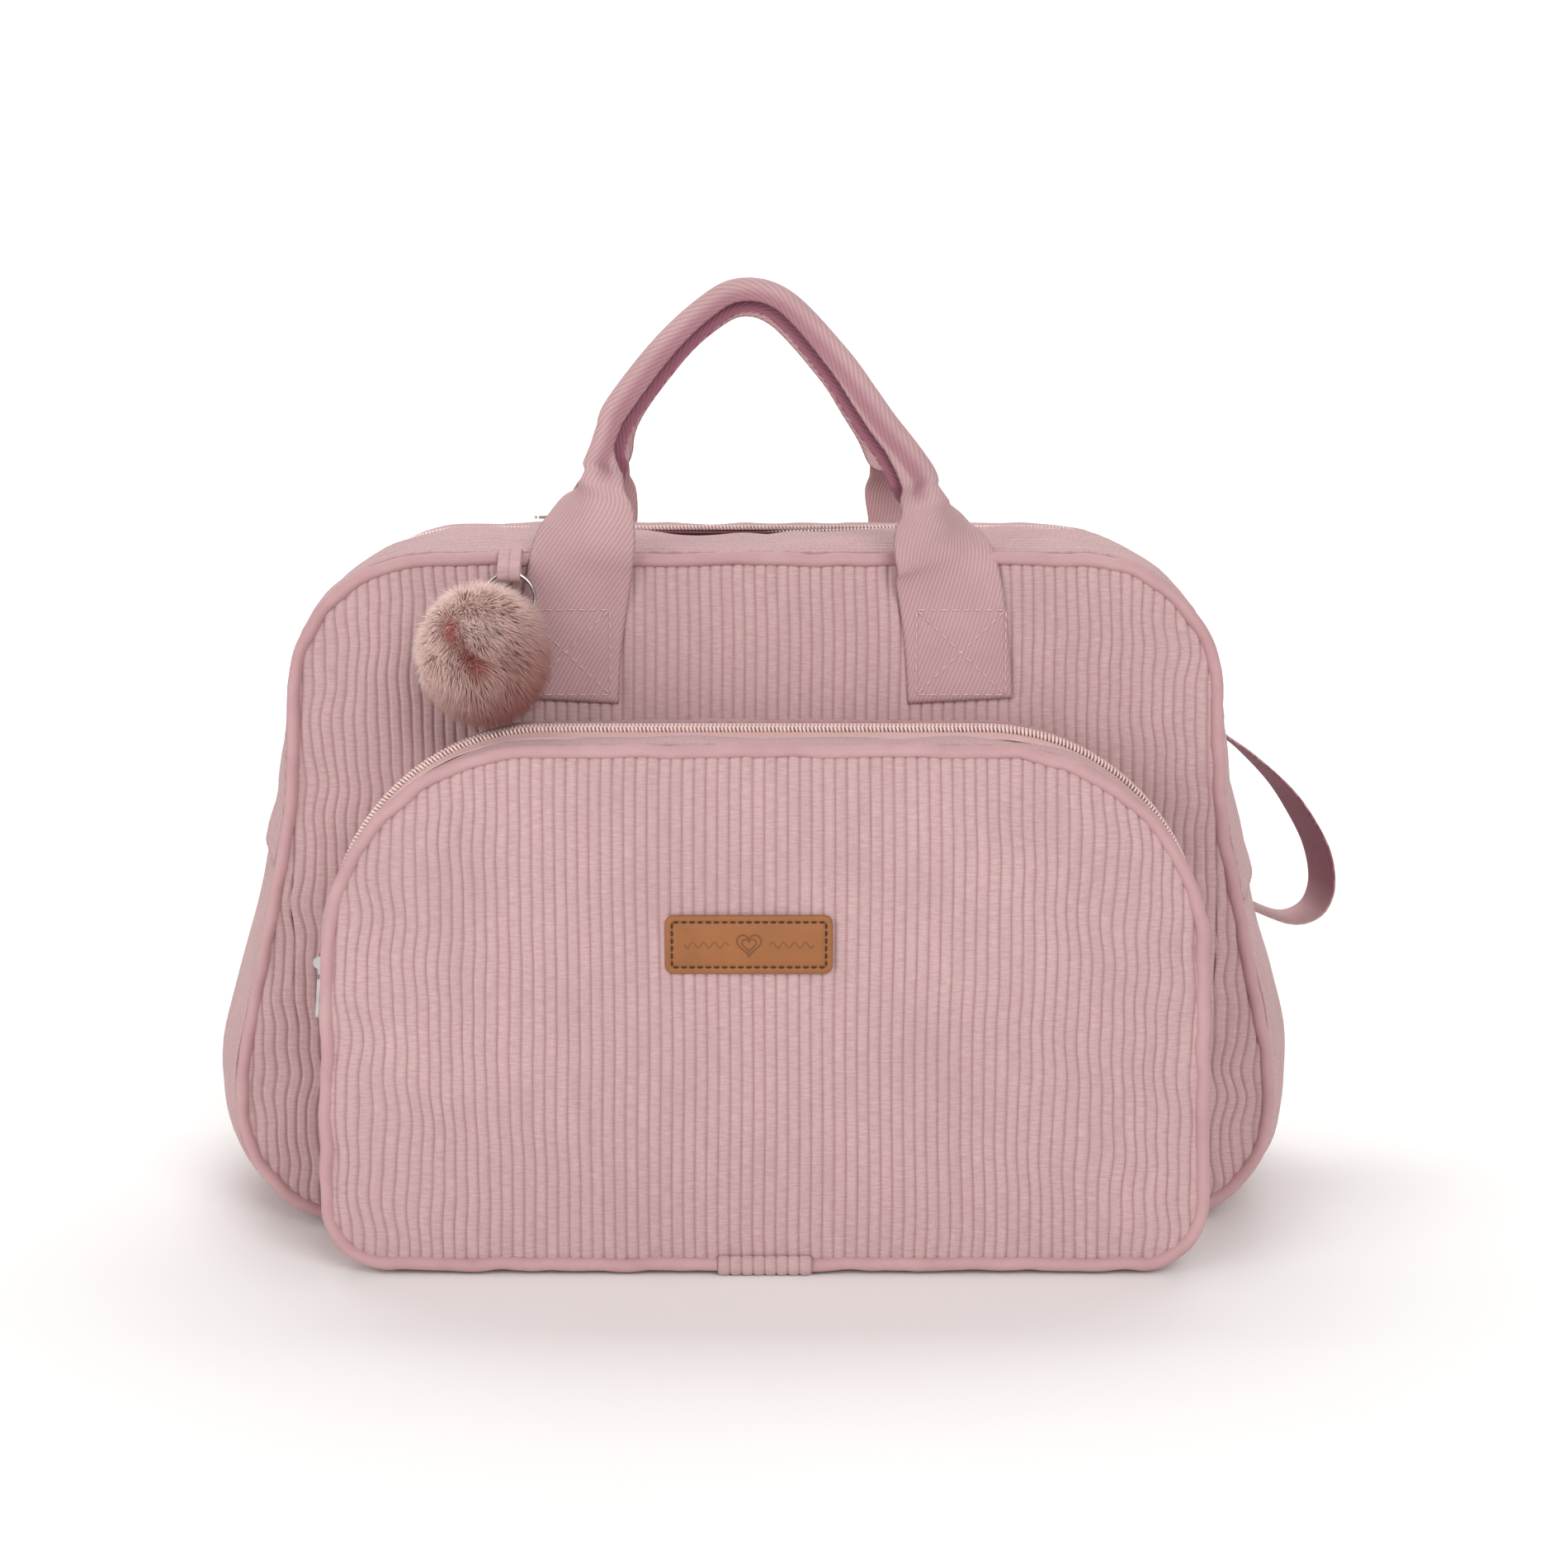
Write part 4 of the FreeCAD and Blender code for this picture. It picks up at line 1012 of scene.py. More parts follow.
class BAG_OT_tabs(bpy.types.Operator):
    """Ribbed tabs over the ends of the zip seams"""
    bl_idname = "bag.tabs"
    bl_label = "Seam tabs"

    def execute(self, context):
        bag = context.scene.bag_cloth
        for name, side, height in (("left", -1, LEFT_TAB_HEIGHT), ("right", 1, RIGHT_TAB_HEIGHT)):
            middle = BODY.at_height(side, height)

            def place(u, v, middle=middle):
                y = (u - 0.5) * TAB_WIDTH
                s = middle + (v - 0.5) * TAB_TALL
                ends = np.clip(np.minimum(u, 1 - u) * 12, 0, 1) ** 0.5
                rib = np.abs(np.sin(v * 3 * math.pi)) ** 0.6
                out = 0.2 * MM + (TAB_THICK - 0.4 * MM) * rib * ends
                return BODY.skin(s, y, out, swell_at(y)), np.stack([v * 3, y / bag.wale], axis=-1)

            mesh = laid(name, 40, 36, place)
            piece = made(name + "_tab_cloth", mesh, FINISH["corduroy"], "bag_body", "corduroy",
                         (name + "_seam_tab",))
            thick(piece, 0.8 * MM)
            declared_sheet(piece, TAB_WIDTH, TAB_TALL * 1.5)

        reach = PIPING + 1.1 * MM
        centre_z = POCKET_BASE + PIPING
        ribs = 8

        def wrap(u, v):
            x = POCKET_X + (u - 0.5) * TAB_WIDTH
            rib = np.abs(np.sin(u * ribs * math.pi)) ** 0.6
            size = reach + (rib - 1.0) * 0.8 * MM
            turn = np.minimum(v * 1.6, 1.0) * math.pi * 0.86 + math.radians(115)
            run = np.maximum(v * 1.6 - 1.0, 0.0) * 26 * MM
            y = POCKET_Y + np.cos(turn) * size + run
            z = np.maximum(centre_z + np.sin(turn) * size, 0.15 * MM + (1 - rib) * 0.5 * MM)
            return np.stack([x, y, z], axis=-1), np.stack([u * ribs, v * 8], axis=-1)

        mesh = laid("pocket_tab", ribs * 8, 40, wrap)
        piece = made("pocket_tab_cloth", mesh, FINISH["corduroy"], "bag_body", "corduroy",
                     ("pocket_seam_tab",))
        thick(piece, 0.6 * MM)
        declared_sheet(piece, TAB_WIDTH, 22 * MM)
        return {"FINISHED"}


# ---------------------------------------------------------------- webbing
def folded_section(fold, half, count):
    """Middle line of a strap that folds back on itself: outwards, backwards and its angle."""
    w = np.linspace(-half, half, count)
    ramp = np.clip((w - ROLL_SHIFT) / ROLL * 0.5 + 0.5, 0, 1)
    ramp = ramp * ramp * (3 - 2 * ramp)
    angle = fold * ((math.pi + 2 * TAPER) * ramp - TAPER)
    turns = (angle[1:] + angle[:-1]) / 2
    step = w[1] - w[0]
    out = np.concatenate([[0.0], np.cumsum(np.cos(turns) * step)])
    back = np.concatenate([[0.0], np.cumsum(np.sin(turns) * step)])
    return out - (out.max() + out.min()) / 2, back - (back.max() + back.min()) / 2, angle, w


def fold_for(width):
    """How far the strap is folded where it looks this wide."""
    folds = np.linspace(0, 1, 41)
    widths = [np.ptp(folded_section(f, GRIP_HALF, 81)[0]) + WEBBING_THICK * f for f in folds]
    return np.interp(width, widths[::-1], folds[::-1])


def strap_mesh(name, centre, across, back, half, fold, depth, along, painted_shade=None, unit=1.0):
    """A strap whose cross-section changes along it, with rounded edges and closed ends."""
    count = 44
    rows = len(centre)
    outer = np.empty((rows, 2 * count, 3))
    width = np.empty((rows, 2 * count))
    # painted shade at each point of the strap
    dark = np.zeros((rows, 2 * count))
    rounding = np.sqrt(np.clip(1 - np.linspace(-1, 1, count) ** 12, 0.0, 1))
    for i in range(rows):
        out, rear, angle, w = folded_section(fold[i], half[i], count)
        normal_out, normal_back = np.sin(angle), -np.cos(angle)
        for j, side in enumerate((1, -1)):
            a = out + side * normal_out * rounding * depth[i] / 2
            b = rear + side * normal_back * rounding * depth[i] / 2
            ring = centre[i] + a[:, None] * across[i] + b[:, None] * back[i]
            span = slice(0, count) if j == 0 else slice(count, 2 * count)
            outer[i, span] = ring if j == 0 else ring[::-1]
            width[i, span] = w if j == 0 else w[::-1]
            if painted_shade is not None:
                dark[i, span] = painted_shade(i, w, j == 1) if j == 0 else painted_shade(i, w, True)[::-1]

    def place(u, v):
        row = np.clip(np.rint(v * (rows - 1)).astype(int), 0, rows - 1)
        column = np.rint(u * 2 * count).astype(int) % (2 * count)
        cloth = np.stack([width[row, column], along[row]], axis=-1) / unit
        return outer[row, column], cloth, dark[row, column]

    return joined(laid(name, 2 * count, rows - 1, place), fill=True)


def round_ends(along, reach):
    """Goes to nothing in a round at both ends of a strap."""
    from_end = np.clip(np.minimum(along, along[-1] - along) / reach, 0, 1)
    return np.sqrt(np.clip(1 - (1 - from_end) ** 2, 0.02, 1))


def handle_mesh(name, side, middle, arch):
    """A whole handle: one strap from the left sewn end over the arch to the right one."""
    flat_y = side * (HALF_DEPTH + 0.95 * MM + WEBBING_THICK / 2)
    bend_y = side * (HALF_DEPTH + BEND_OUT)
    spots = []
    for x, up, width in arch:
        share = np.clip((up + 24) / 24, 0, 1)
        rise = share * share * (3 - 2 * share)
        y = flat_y + (bend_y - flat_y) * rise - side * max(up * MM, 0.0) * LEAN
        spots.append((middle + x * MM, y, HEIGHT + up * MM, width * MM))
    line, along = smooth_line(spots, 260)
    centre = line[:, :3]
    way = np.gradient(centre, axis=0)
    way /= np.linalg.norm(way, axis=1)[:, None]
    across = np.stack([-way[:, 2], 0 * way[:, 0], way[:, 0]], axis=-1)
    across /= np.linalg.norm(across, axis=1)[:, None]
    back = np.cross(across, way)
    back *= np.where(back[:, 1:2] * side > 0, -1.0, 1.0)
    grip = np.clip((centre[:, 2] - HEIGHT - 6 * MM) / (34 * MM), 0, 1)
    folded_half = GRIP_HALF * np.clip(line[:, 3] / (13 * MM), 0.95, 1.25)
    half = WEBBING_HALF + (folded_half - WEBBING_HALF) * grip
    fold = fold_for(line[:, 3] * GRIP_HALF / half)
    kernel = np.hanning(19) / np.hanning(19).sum()
    fold = np.convolve(np.pad(fold, 9, mode="edge"), kernel, mode="valid")
    fold = fold * np.clip((centre[:, 2] - SEAM_Z - 4 * MM) / (16 * MM), 0, 1)
    sewn = np.clip((SEAM_Z + 2 * MM - centre[:, 2]) / (9 * MM), 0, 1)
    depth = (WEBBING_THICK + 0.7 * MM * sewn) * round_ends(along, 1.3 * MM)

    def painted_shade(i, w, under):
        """Painted shade on the inside of the fold and on the lower part of its front flap."""
        folded = np.clip((fold[i] - 0.55) / 0.3, 0, 1)
        low = np.clip((-w - 6.5 * MM) / (3 * MM), 0, 1)
        low = low * np.clip((w + GRIP_HALF + 0.6 * MM) / (1.2 * MM), 0, 1)
        return folded * (0.8 if under else 0.5 * low) + 0 * w

    return strap_mesh(name, centre, across, back, half, fold, depth, along, painted_shade)


def stitch_shape():
    """One stitch along X: a small round-ended roll that dips at both ends."""
    bm = bmesh.new()
    bmesh.ops.create_uvsphere(bm, u_segments=6, v_segments=6, radius=0.5)
    bmesh.ops.rotate(bm, verts=bm.verts, cent=(0, 0, 0), matrix=Matrix.Rotation(math.pi / 2, 3, "Y"))
    mesh = bpy.data.meshes.new("stitch")
    bm.to_mesh(mesh)
    bm.free()
    return mesh


def stitches(name, lines, out, long, pitch, size):
    """Rows of stitches: each line has two ends on a face, and out is the way the face looks."""
    out = np.array(out, dtype=float)
    starts, ways = [], []
    for start, end in lines:
        start, end = np.array(start), np.array(end)
        count = max(1, round(np.linalg.norm(end - start) / pitch))
        step = (end - start) / count
        for i in range(count):
            starts.append(start + step * (i + 0.5))
            ways.append(step / np.linalg.norm(step))
    starts, ways = np.array(starts), np.array(ways)
    sides = np.cross(ways, out)

    def place(copies):
        x, y, z = copies[..., 0:1], copies[..., 1:2], copies[..., 2:3]
        bow = (0.25 - x ** 2) * 0.9
        return (starts[:, None] + ways[:, None] * x * long + sides[:, None] * y * size
                + out * (z * size + bow * size))

    return repeated(name, stitch_shape(), len(starts), place)


def box_and_cross(x, y):
    """Lines of a sewn box with a cross in it, over one end of a handle."""
    low, high = END_Z + 3 * MM, SEAM_Z
    half = WEBBING_HALF - 3 * MM
    corner = [(x + sx * half, y, z) for sx, z in ((-1, low), (1, low), (1, high), (-1, high))]
    lines = [(corner[i], corner[(i + 1) % 4]) for i in range(4)]
    lines += [(corner[0], corner[2]), (corner[1], corner[3])]
    return lines


class BAG_OT_handles(bpy.types.Operator):
    """Both webbing handles and the stitching of their ends"""
    bl_idname = "bag.handles"
    bl_label = "Handles"

    def execute(self, context):
        for name, side, arch in (("front", -1, FRONT_ARCH), ("back", 1, BACK_ARCH)):
            middle = HANDLE_X[name]
            mesh = handle_mesh(name, side, middle, arch)
            strap = made(name + "_handle_webbing", mesh, FINISH["webbing"], None, "webbing",
                         (name + "_handle", name + "_handle_ends"))
            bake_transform(strap)
            face = side * (HALF_DEPTH + 0.95 * MM + WEBBING_THICK + 0.5 * MM)
            lines = []
            for leg in (-1, 1):
                lines += box_and_cross(middle + leg * END_SPREAD, face)
            mesh = stitches(name, lines, (0, side, 0), STITCH_LONG, STITCH_PITCH, 0.55 * MM)
            made(name + "_handle_seams", mesh, FINISH["thread"], "bag_body", "thread",
                 (name + "_handle_stitching",))
        return {"FINISHED"}


class BAG_OT_side_loop(bpy.types.Operator):
    """Webbing loop on the right of the gusset"""
    bl_idname = "bag.side_loop"
    bl_label = "Side loop"

    def execute(self, context):
        first, last = LOOP_PATH[0][1], LOOP_PATH[-1][1]
        slope = (LOOP_BOTTOM_X - LOOP_TOP_X) / (last - first)
        spots = [(LOOP_TOP_X + slope * (drop - first) + out * MM, LOOP_Y, HEIGHT - drop * MM)
                 for out, drop in LOOP_PATH]
        line, along = smooth_line(spots, 120)
        way = np.gradient(line, axis=0)
        way /= np.linalg.norm(way, axis=1)[:, None]
        share = along / along[-1]
        twist = LOOP_TWIST * np.sin(share * math.pi) ** 2
        across = np.stack([twist, -np.ones_like(twist), 0 * twist], axis=-1)
        across /= np.linalg.norm(across, axis=1)[:, None]
        back = np.cross(way, across)
        back /= np.linalg.norm(back, axis=1)[:, None]
        half = np.full(len(line), LOOP_HALF)
        depth = LOOP_THICK * round_ends(along, 1 * MM)

        def painted_shade(i, w, under):
            """Painted shade on the inside of the loop, less where it lies flat below."""
            facing_up = np.clip(-way[i, 0] * 1.3, 0, 1)
            deep = np.sin(math.pi * np.clip(share[i] * 1.15, 0, 1)) ** 0.7 * (1 - facing_up)
            return (0.85 * deep if under else 0.0) + 0 * w

        mesh = strap_mesh("loop", line, across, back, half, 0 * half, depth, along, painted_shade)
        loop = made("side_loop_webbing", mesh, FINISH["webbing"], None, "webbing",
                    ("side_loop", "side_loop_ends"))
        axis = np.array([spots[-1][0] - spots[0][0], 0.0, spots[-1][2] - spots[0][2]])
        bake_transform(loop)
        return {"FINISHED"}


# ---------------------------------------------------------------- label
LABEL_CORNER = 3.2 * MM
LABEL_MARKS = 1.72 * MM     # how far the pressed marks stand in front of the label's back
LABEL_STITCHES = 1.15 * MM  # and its stitches
LABEL_EDGE = 2.5 * MM       # from the label's edge to its stitches
LABEL_STAND = 3.1 * MM      # the padded pocket lifts the label this far
# in from the edge, above the back face
LABEL_PROFILE = [
    (0.3, 0.0), (0.0, 0.25), (0.0, 0.75), (0.3, 1.2), (0.9, 1.42), (1.8, 1.4), (2.3, 1.12), (2.7, 1.08),
    (3.2, 1.42), (4.5, 1.62), (6.5, 1.74), (8.5, 1.78), (10.2, 1.8)]


def plate_mesh(centre, face, wide, tall, corner):
    """A rounded plate of padded leather with a groove for its stitches."""
    inset = np.array([row[0] for row in LABEL_PROFILE]) * MM
    above = np.array([row[1] for row in LABEL_PROFILE]) * MM

    def place(u, v):
        row = np.clip(np.rint(v * (len(inset) - 1)).astype(int), 0, len(inset) - 1)
        points = np.empty((len(u), 3))
        for i in np.unique(row):
            here = row == i
            half_wide, half_tall = wide / 2 - inset[i], tall / 2 - inset[i]
            radius = max(corner - inset[i] * 0.7, 0.25 * MM)
            loop = rounded([(half_wide, -half_tall, radius), (half_wide, half_tall, radius)], 0.0, -half_tall,
                           10)
            marks = np.concatenate([[0.0], np.cumsum(np.linalg.norm(np.diff(loop, axis=0), axis=1))])
            s = u[here] * marks[-1]
            points[here, 0] = centre.x + np.interp(s, marks, loop[:, 0])
            points[here, 1] = face - above[i]
            points[here, 2] = centre.z + np.interp(s, marks, loop[:, 1])
        # painted shade along the stitch groove
        shade = np.where((row == 6) | (row == 7), 0.35, 0.0)
        return points, np.stack([u, v], axis=-1), shade

    return joined(laid("label", 220, len(inset) - 1, place), fill=True)


class BAG_OT_label(bpy.types.Operator):
    """Leather label with a pressed heart between two waved lines, and a sewn edge"""
    bl_idname = "bag.label"
    bl_label = "Label"

    def execute(self, context):
        low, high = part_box("label")
        centre = (low + high) / 2
        wide, deep, tall = high - low
        face = POCKET_Y - LABEL_STAND
        mesh = plate_mesh(centre, face, wide, tall, LABEL_CORNER)
        made("label_leather", mesh, FINISH["leather"], "bag_body", "leather", ("label",))

        front = face - LABEL_MARKS
        turn = np.linspace(0, math.tau, 60, endpoint=False)
        size = 4.4 * MM / 16
        across = 16 * np.sin(turn) ** 3
        up = 13 * np.cos(turn) - 5 * np.cos(2 * turn) - 2 * np.cos(3 * turn) - np.cos(4 * turn) + 1.5
        for number, scale in enumerate((1.0, 0.58)):
            path = np.stack([centre.x + across * size * scale, front + 0 * turn,
                             centre.z + up * size * scale], axis=-1)
            mesh = swept("heart", path, 0.3 * MM, 8, closed=True)
            made("label_heart_%d" % number, mesh, FINISH["leather_mark"], "bag_body", "leather")
        for number, side in enumerate((-1, 1)):
            share = np.linspace(0, 1, 90)
            path = np.stack([centre.x + side * (7.5 + 16 * share) * MM, front + 0.1 * MM + 0 * share,
                             centre.z + 1.1 * MM * np.sin(share * 4 * math.tau)], axis=-1)
            mesh = swept("wave", path, 0.26 * MM, 8)
            made("label_wave_%d" % number, mesh, FINISH["leather_mark"], "bag_body", "leather")

        half_wide, half_tall = wide / 2 - LABEL_EDGE, tall / 2 - LABEL_EDGE
        corner = [(centre.x + sx * half_wide, face - LABEL_STITCHES, centre.z + sz * half_tall)
                  for sx, sz in ((-1, -1), (1, -1), (1, 1), (-1, 1))]
        lines = [(corner[i], corner[(i + 1) % 4]) for i in range(4)]
        mesh = stitches("label_seam", lines, (0, -1, 0), 2.2 * MM, 3.0 * MM, 0.85 * MM)
        made("label_seam", mesh, FINISH["label_thread"], "bag_body", "label_thread", ("label_stitching",))
        return {"FINISHED"}


# ---------------------------------------------------------------- pompom
class BAG_OT_pompom(bpy.types.Operator):
    """Fur pompom: its core and its hair"""
    bl_idname = "bag.pompom"
    bl_label = "Pompom"

    def execute(self, context):
        fur = context.scene.bag_fur
        low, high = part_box("pompom")
        centre = np.array((low + high) / 2) + np.array([1.8, 0.0, -0.4]) * MM
        half = np.array((high - low) / 2) * np.array([0.98, 0.9, 0.94])

        bm = bmesh.new()
        bmesh.ops.create_icosphere(bm, subdivisions=4, radius=1.0)
        bmesh.ops.scale(bm, verts=bm.verts, vec=Vector(half))
        bmesh.ops.translate(bm, verts=bm.verts, vec=Vector(centre))
        core = bpy.data.meshes.new("core")
        bm.to_mesh(core)
        bm.free()
        ball = (np.array([v.co for v in core.vertices]) - centre) / half
        tones = core.attributes.new("tone", "FLOAT", "POINT")
        # the core gets the fur's painted light and shade, a little darker
        tones.data.foreach_set("value", (fur_tone(ball)[0] * 0.8).astype(np.float32))
        piece = made("pompom_core", core, FINISH["fur"], "charm_body", "fur", ("pompom",))

        mesh = fur_mesh(fur, centre, half)
        made("pompom_fur", mesh, FINISH["fur"], "charm_body", "fur")
        return {"FINISHED"}


def strand_shape():
    """One hair along Z, from 0 to 1, a thin three-sided point."""
    bm = bmesh.new()
    bmesh.ops.create_cone(bm, cap_ends=True, segments=3, radius1=1.0, radius2=0.0, depth=1.0)
    bmesh.ops.remove_doubles(bm, verts=bm.verts, dist=1e-5)
    bmesh.ops.translate(bm, verts=bm.verts, vec=(0, 0, 0.5))
    everything = bm.verts[:] + bm.edges[:] + bm.faces[:]
    bmesh.ops.bisect_plane(bm, geom=everything, plane_co=(0, 0, 0.55), plane_no=(0, 0, 1))
    mesh = bpy.data.meshes.new("strand")
    bm.to_mesh(mesh)
    bm.free()
    return mesh


def fur_tone(ball):
    """How pale the fur is painted over the ball, as painted light from the upper left with painted shade to
    the lower right and along its crease, and the way and the distance from its crease.
    """
    crease_a = np.array([-0.52, -0.72, 0.46])
    crease_b = np.array([-0.02, -0.99, -0.16])
    share = np.clip(((ball - crease_a) @ (crease_b - crease_a)) / np.sum((crease_b - crease_a) ** 2), 0, 1)
    away = ball - crease_a - share[:, None] * (crease_b - crease_a)
    gap = np.linalg.norm(away, axis=1)
    # painted light: paler to the upper left, painted shade to the lower right and along the crease
    lit = np.clip(0.76 - 0.28 * ball[:, 0] + 0.36 * ball[:, 2], 0.0, 1.0)
    return lit * (1 - 0.85 * np.exp(-(gap / 0.13) ** 2)), away, gap


def fur_mesh(fur, centre, half):
    """Hair over the core, parted along a dark crease and combed down and to the right."""
    count = fur.strands
    rng = np.random.default_rng(7)
    i = np.arange(count) + 0.5
    height = 1 - 2 * i / count
    turn = math.pi * (1 + 5 ** 0.5) * i
    ring = np.sqrt(1 - height ** 2)
    ball = np.stack([ring * np.cos(turn), ring * np.sin(turn), height], axis=-1)
    ball = ball + rng.normal(0, 0.02, ball.shape)
    ball /= np.linalg.norm(ball, axis=1)[:, None]
    root = centre + ball * half * 0.97
    normal = ball / half
    normal /= np.linalg.norm(normal, axis=1)[:, None]

    lit, away, gap = fur_tone(ball)
    in_crease = np.exp(-(gap / 0.13) ** 2)

    clump = field(3, 12, 0.3, 1.1)
    x, y, z = ball.T
    lean = np.stack([clump(x, z), clump(y + 4, x), clump(z + 9, y)], axis=-1) * 0.16
    comb = np.array([0.35, 0.0, -0.6])
    way = normal * 0.75 + lean + comb * 0.55 + rng.normal(0, 0.1, ball.shape)
    way += away / (gap[:, None] + 0.05) * (0.5 * np.exp(-(gap / 0.25) ** 2))[:, None]
    way /= np.linalg.norm(way, axis=1)[:, None]
    long = fur.length * (0.75 + 0.35 * rng.random(count)) * (1 - 0.55 * in_crease)
    bend = comb * 0.3 + lean * 0.3 + rng.normal(0, 0.05, ball.shape)
    side = np.cross(way, rng.normal(0, 1, ball.shape))
    side /= np.linalg.norm(side, axis=1)[:, None]
    other = np.cross(way, side)
    width = fur.strand_width / 2

    def place(copies):
        x, y, t = copies[..., 0:1], copies[..., 1:2], copies[..., 2:3]
        spine = root[:, None] + long[:, None, None] * (t * way[:, None] + t ** 2 * bend[:, None])
        return spine + width * (x * side[:, None] + y * other[:, None])

    shape = strand_shape()
    mesh = repeated("fur", shape, count, place)
    t = np.array([v.co.z for v in shape.vertices])
    lit = lit * (0.92 + 0.16 * rng.random(count))
    # painted light and shade from fur_tone, darker towards the root
    tone = lit[:, None] * (0.7 + 0.3 * np.clip(t * 1.6, 0, 1))[None]
    tones = mesh.attributes.new("tone", "FLOAT", "POINT")
    tones.data.foreach_set("value", np.clip(tone, 0, 1).astype(np.float32).ravel())
    return mesh


class BAG_OT_charm_holder(bpy.types.Operator):
    """Cloth tab that holds the split ring, and the cord that holds the pompom"""
    bl_idname = "bag.charm_holder"
    bl_label = "Charm holder"

    def execute(self, context):
        ring_low, ring_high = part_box("pompom_ring")
        middle = (ring_low + ring_high) / 2
        eye = Vector((middle.x, middle.y, ring_high.z - 0.75 * MM))
        x = eye.x
        seam = Vector((x, FRONT_Y - 0.6 * MM, HEIGHT + 1.4 * MM))
        spots = [(x, seam.y + 2.2 * MM, seam.z - 1.0 * MM), (x, seam.y - 1.5 * MM, seam.z - 0.2 * MM),
                 (x, eye.y + 1.2 * MM, eye.z + 4.2 * MM)]
        for degrees in (100, 140, 180, 220, 260, 300, 340, 385):
            turn = math.radians(degrees)
            spots.append((x, eye.y + math.cos(turn) * 3.2 * MM, eye.z + math.sin(turn) * 3.2 * MM))
        spots.append((x, eye.y + 2.6 * MM, eye.z + 3.1 * MM))
        line, along = smooth_line(spots, 60)
        way = np.gradient(line, axis=0)
        way /= np.linalg.norm(way, axis=1)[:, None]
        across = np.broadcast_to((1.0, 0.0, 0.0), way.shape)
        back = np.cross(way, across)
        half = np.full(len(line), 4.5 * MM)
        depth = 0.9 * MM * round_ends(along, 0.8 * MM)
        mesh = strap_mesh("tab", line, across, back, half, 0 * half, depth, along, unit=4.5 * MM)
        made("charm_tab_cloth", mesh, FINISH["corduroy"], "bag_body", "corduroy", ("pompom_tab",))

        low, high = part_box("pompom_loop")
        centre = np.array((low + high) / 2)
        major = 4.0 * MM
        turn = np.linspace(0, math.tau, 40, endpoint=False)
        flat = np.array([math.cos(math.radians(45)), 0.0, math.sin(math.radians(45))])
        deep = np.array([0.0, 1.0, 0.0])
        path = centre + major * (np.cos(turn)[:, None] * flat + np.sin(turn)[:, None] * deep)

        def twisted(along, around):
            return 0.7 * MM * (1 + 0.12 * np.sin(3 * around + along / (1.1 * MM) * 3))

        mesh = swept("cord", path, twisted, 12, closed=True)
        made("pompom_cord", mesh, FINISH["cord"], "charm_body", "cord", ("pompom_loop",))
        return {"FINISHED"}


# ---------------------------------------------------------------- kept frame pieces
class BAG_OT_metal_and_inside(bpy.types.Operator):
    """Finishes of the sliders, pulls and ring, and of the layers inside"""
    bl_idname = "bag.metal_and_inside"
    bl_label = "Metal and inside"

    def execute(self, context):
        plan = {
            "metal": ["main_zip_slider", "main_zip_pull", "pocket_zip_slider", "pocket_zip_pull",
                      "pompom_ring"],
            "foam": ["foam_front", "foam_back", "foam_lower_gusset"],
            "lining": ["lining", "pocket_lining"],
            "board": ["base_board"]}
        for finish, nodes in plan.items():
            for name in nodes:
                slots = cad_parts[name].data.materials
                slots.clear()
                slots.append(FINISH[finish])
        low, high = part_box("pocket_foam")
        mesh = foam_mesh("pocket_foam", POCKET, low.y, high.y, 6 * MM)
        made("pocket_foam_sheet", mesh, FINISH["foam"], "bag_body", "padding", ("pocket_foam",))
        return {"FINISHED"}


# ---------------------------------------------------------------- stage
FLOOR_WIDE = 14.0
FLOOR_LONG = 9.0
FLOOR_FRONT = 3.0           # the floor starts this far in front of the bag
BEND_START = 2.0            # and turns upwards this far behind it
BEND_RADIUS = 2.4


def sweep_up(u, v):
    """Floor in front, a wide curve, then a wall behind."""
    reach = v * FLOOR_LONG - FLOOR_FRONT
    turn = np.clip((reach - BEND_START) / BEND_RADIUS, 0, math.pi / 2)
    y = np.where(reach < BEND_START, reach, BEND_START + BEND_RADIUS * np.sin(turn))
    wall = np.maximum(reach - BEND_START - BEND_RADIUS * math.pi / 2, 0)
    z = BEND_RADIUS * (1 - np.cos(turn)) + wall - 0.1 * MM
    return np.stack([(u - 0.5) * FLOOR_WIDE, y, z], axis=-1), np.stack([u, v], axis=-1)


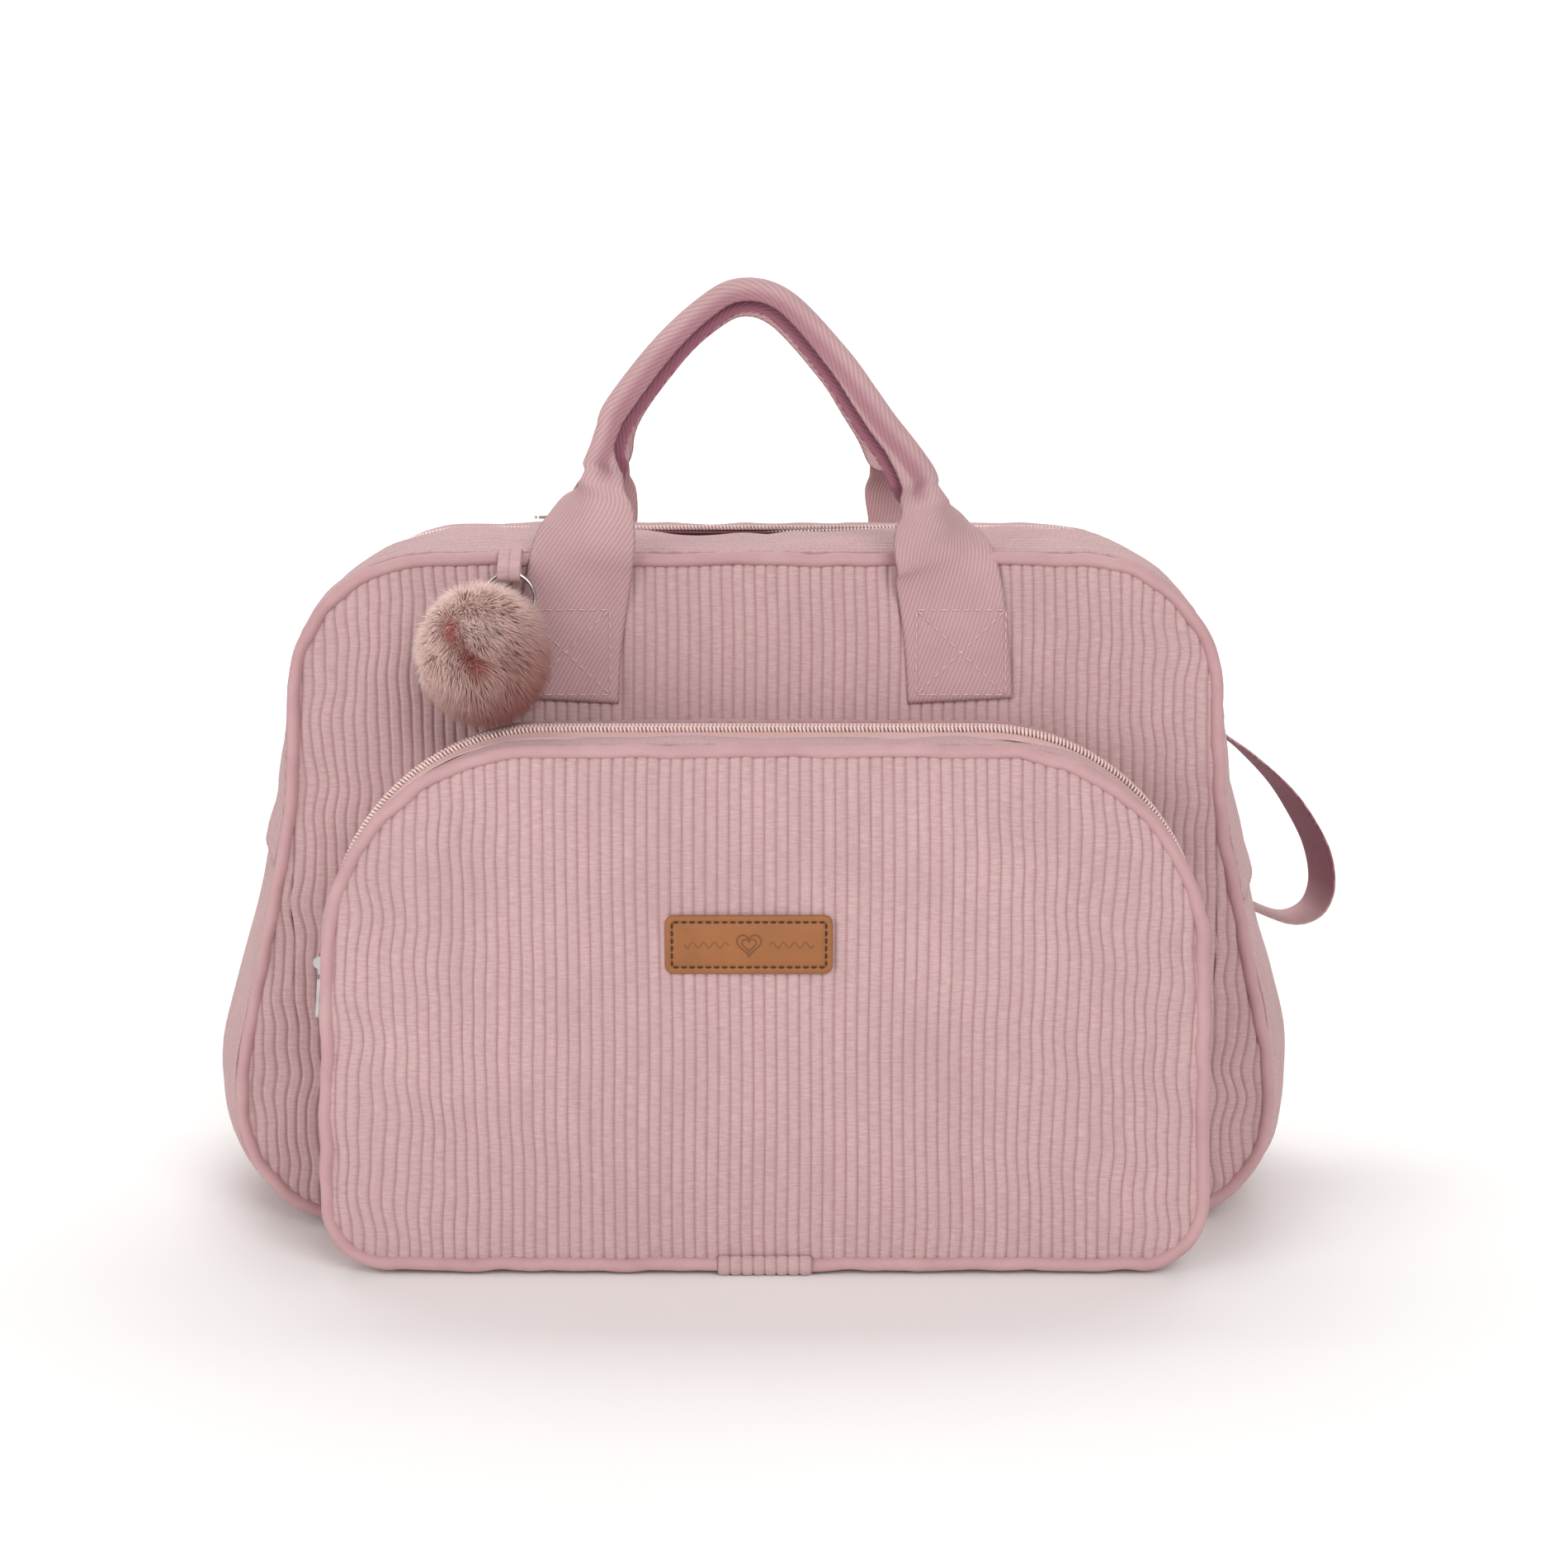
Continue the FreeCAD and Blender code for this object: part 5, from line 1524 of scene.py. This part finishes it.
class BAG_OT_stage(bpy.types.Operator):
    """Floor, soft light and camera"""
    bl_idname = "bag.stage"
    bl_label = "Stage"

    def execute(self, context):
        scene = context.scene
        light = scene.bag_stage
        mesh = laid("floor", 4, 90, sweep_up)
        floor = bpy.data.objects.new("floor", mesh)
        scene.collection.objects.link(floor)
        mesh.polygons.foreach_set("use_smooth", [True] * len(mesh.polygons))
        mesh.materials.append(solid_finish("pale_floor", srgb(252, 251, 250), srgb(249, 248, 247), 3.0,
                                           (0.8, 0.9), 0.02))
        floor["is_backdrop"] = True

        world = bpy.data.worlds.new("soft_room")
        world.use_nodes = True
        room = world.node_tree.nodes["Background"]
        room.inputs["Color"].default_value = (1.0, 0.99, 0.985, 1.0)
        room.inputs["Strength"].default_value = light.room
        scene.world = world
        plan = [("key", (0.8, -2.3, 1.5), 1.3, light.key), ("fill", (-1.9, -1.8, 0.9), 1.8, light.key * 0.8),
                ("wall", (0.0, 2.0, 3.2), 3.5, light.key * 4.0)]
        for name, place, size, power in plan:
            lamp = bpy.data.lights.new(name, "AREA")
            lamp.size = size
            lamp.energy = power
            holder = bpy.data.objects.new(name, lamp)
            holder.location = place
            aim = Vector((0, 3.8 if name == "wall" else 0, 0.15)) - Vector(place)
            holder.rotation_euler = aim.to_track_quat("-Z", "Y").to_euler()
            scene.collection.objects.link(holder)

        view = bpy.data.cameras.new("camera")
        view.lens = CAMERA_LENS
        view.shift_x, view.shift_y = CAMERA_SHIFT
        camera = bpy.data.objects.new("camera", view)
        camera.location = CAMERA_AT
        camera.rotation_euler = (math.radians(90 - CAMERA_PITCH), 0, 0)
        scene.collection.objects.link(camera)
        scene.camera = camera
        scene.view_settings.view_transform = "Standard"
        return {"FINISHED"}


# ---------------------------------------------------------------- settings and panel
class BagCloth(bpy.types.PropertyGroup):
    """Sizes and colours of the cloth, webbing and label"""
    wale: FloatProperty(name="Wale", description="Width of one corduroy rib", default=4.23 * MM,
                        unit="LENGTH")
    relief: FloatProperty(name="Relief", description="Depth of the grooves", default=0.85 * MM, unit="LENGTH")
    waver: FloatProperty(name="Waver", description="How far ribs stray", default=1.1 * MM, unit="LENGTH")
    twill_pitch: FloatProperty(name="Twill", description="Width of one twill rib", default=1.5 * MM,
                               unit="LENGTH")
    ridge_colour: FloatVectorProperty(name="Ridges", description="Colour of the pile", size=3,
                                      subtype="COLOR", default=srgb(205, 175, 174)[:3])
    groove_colour: FloatVectorProperty(name="Grooves", description="Colour between the ribs", size=3,
                                       subtype="COLOR", default=srgb(168, 124, 130)[:3])
    webbing_colour: FloatVectorProperty(name="Webbing", description="Colour of the webbing", size=3,
                                        subtype="COLOR", default=srgb(212, 172, 174)[:3])
    leather_colour: FloatVectorProperty(name="Leather", description="Colour of the label", size=3,
                                        subtype="COLOR", default=srgb(158, 100, 56)[:3])
    fur_light: FloatVectorProperty(name="Pale fur", description="Colour of the lit fur", size=3,
                                   subtype="COLOR", default=srgb(250, 222, 214)[:3])
    fur_dark: FloatVectorProperty(name="Dark fur", description="Colour of the shaded fur", size=3,
                                  subtype="COLOR", default=srgb(184, 112, 106)[:3])


class BagFur(bpy.types.PropertyGroup):
    """The pompom's hair"""
    strands: IntProperty(name="Strands", description="Number of hairs", default=19000, min=100)
    length: FloatProperty(name="Length", description="Length of a hair", default=8.0 * MM, unit="LENGTH")
    strand_width: FloatProperty(name="Width", description="Width of a hair", default=0.42 * MM, unit="LENGTH")


class BagStage(bpy.types.PropertyGroup):
    """Light of the stage"""
    room: FloatProperty(name="Room", description="Strength of the light from all round", default=0.37)
    key: FloatProperty(name="Key", description="Power of the main lamp", default=33.0, unit="POWER")


class BAG_PT_tools(bpy.types.Panel):
    """Lists the steps that build the bag"""
    bl_label = "Changing bag"
    bl_space_type = "VIEW_3D"
    bl_region_type = "UI"
    bl_category = "Bag"

    def draw(self, context):
        scene = context.scene
        for group in (scene.bag_cloth, scene.bag_fur, scene.bag_stage):
            for name in group.__annotations__:
                self.layout.prop(group, name)
        for step in STEPS:
            self.layout.operator(step.bl_idname)


STEPS = (BAG_OT_stage, BAG_OT_panels, BAG_OT_gussets, BAG_OT_piping, BAG_OT_zips, BAG_OT_tabs, BAG_OT_handles,
         BAG_OT_side_loop, BAG_OT_label, BAG_OT_pompom, BAG_OT_charm_holder, BAG_OT_metal_and_inside)
GROUPS = {"bag_cloth": BagCloth, "bag_fur": BagFur, "bag_stage": BagStage}
FINISH = {}


def register():
    for name, group in GROUPS.items():
        bpy.utils.register_class(group)
        setattr(bpy.types.Scene, name, PointerProperty(type=group))
    for step in STEPS:
        bpy.utils.register_class(step)
    bpy.utils.register_class(BAG_PT_tools)


def unregister():
    bpy.utils.unregister_class(BAG_PT_tools)
    for step in reversed(STEPS):
        bpy.utils.unregister_class(step)
    for name, group in GROUPS.items():
        delattr(bpy.types.Scene, name)
        bpy.utils.unregister_class(group)


def main():
    register()
    FINISH.update(make_finishes(bpy.context.scene.bag_cloth))
    for step in STEPS:
        group, name = step.bl_idname.split(".")
        getattr(getattr(bpy.ops, group), name)()
    boxes = {"cad": CAD_BOX, "visual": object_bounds()}
    {name: [list(corner) for corner in box] for name, box in boxes.items()}


if __name__ == "__main__":
    main()
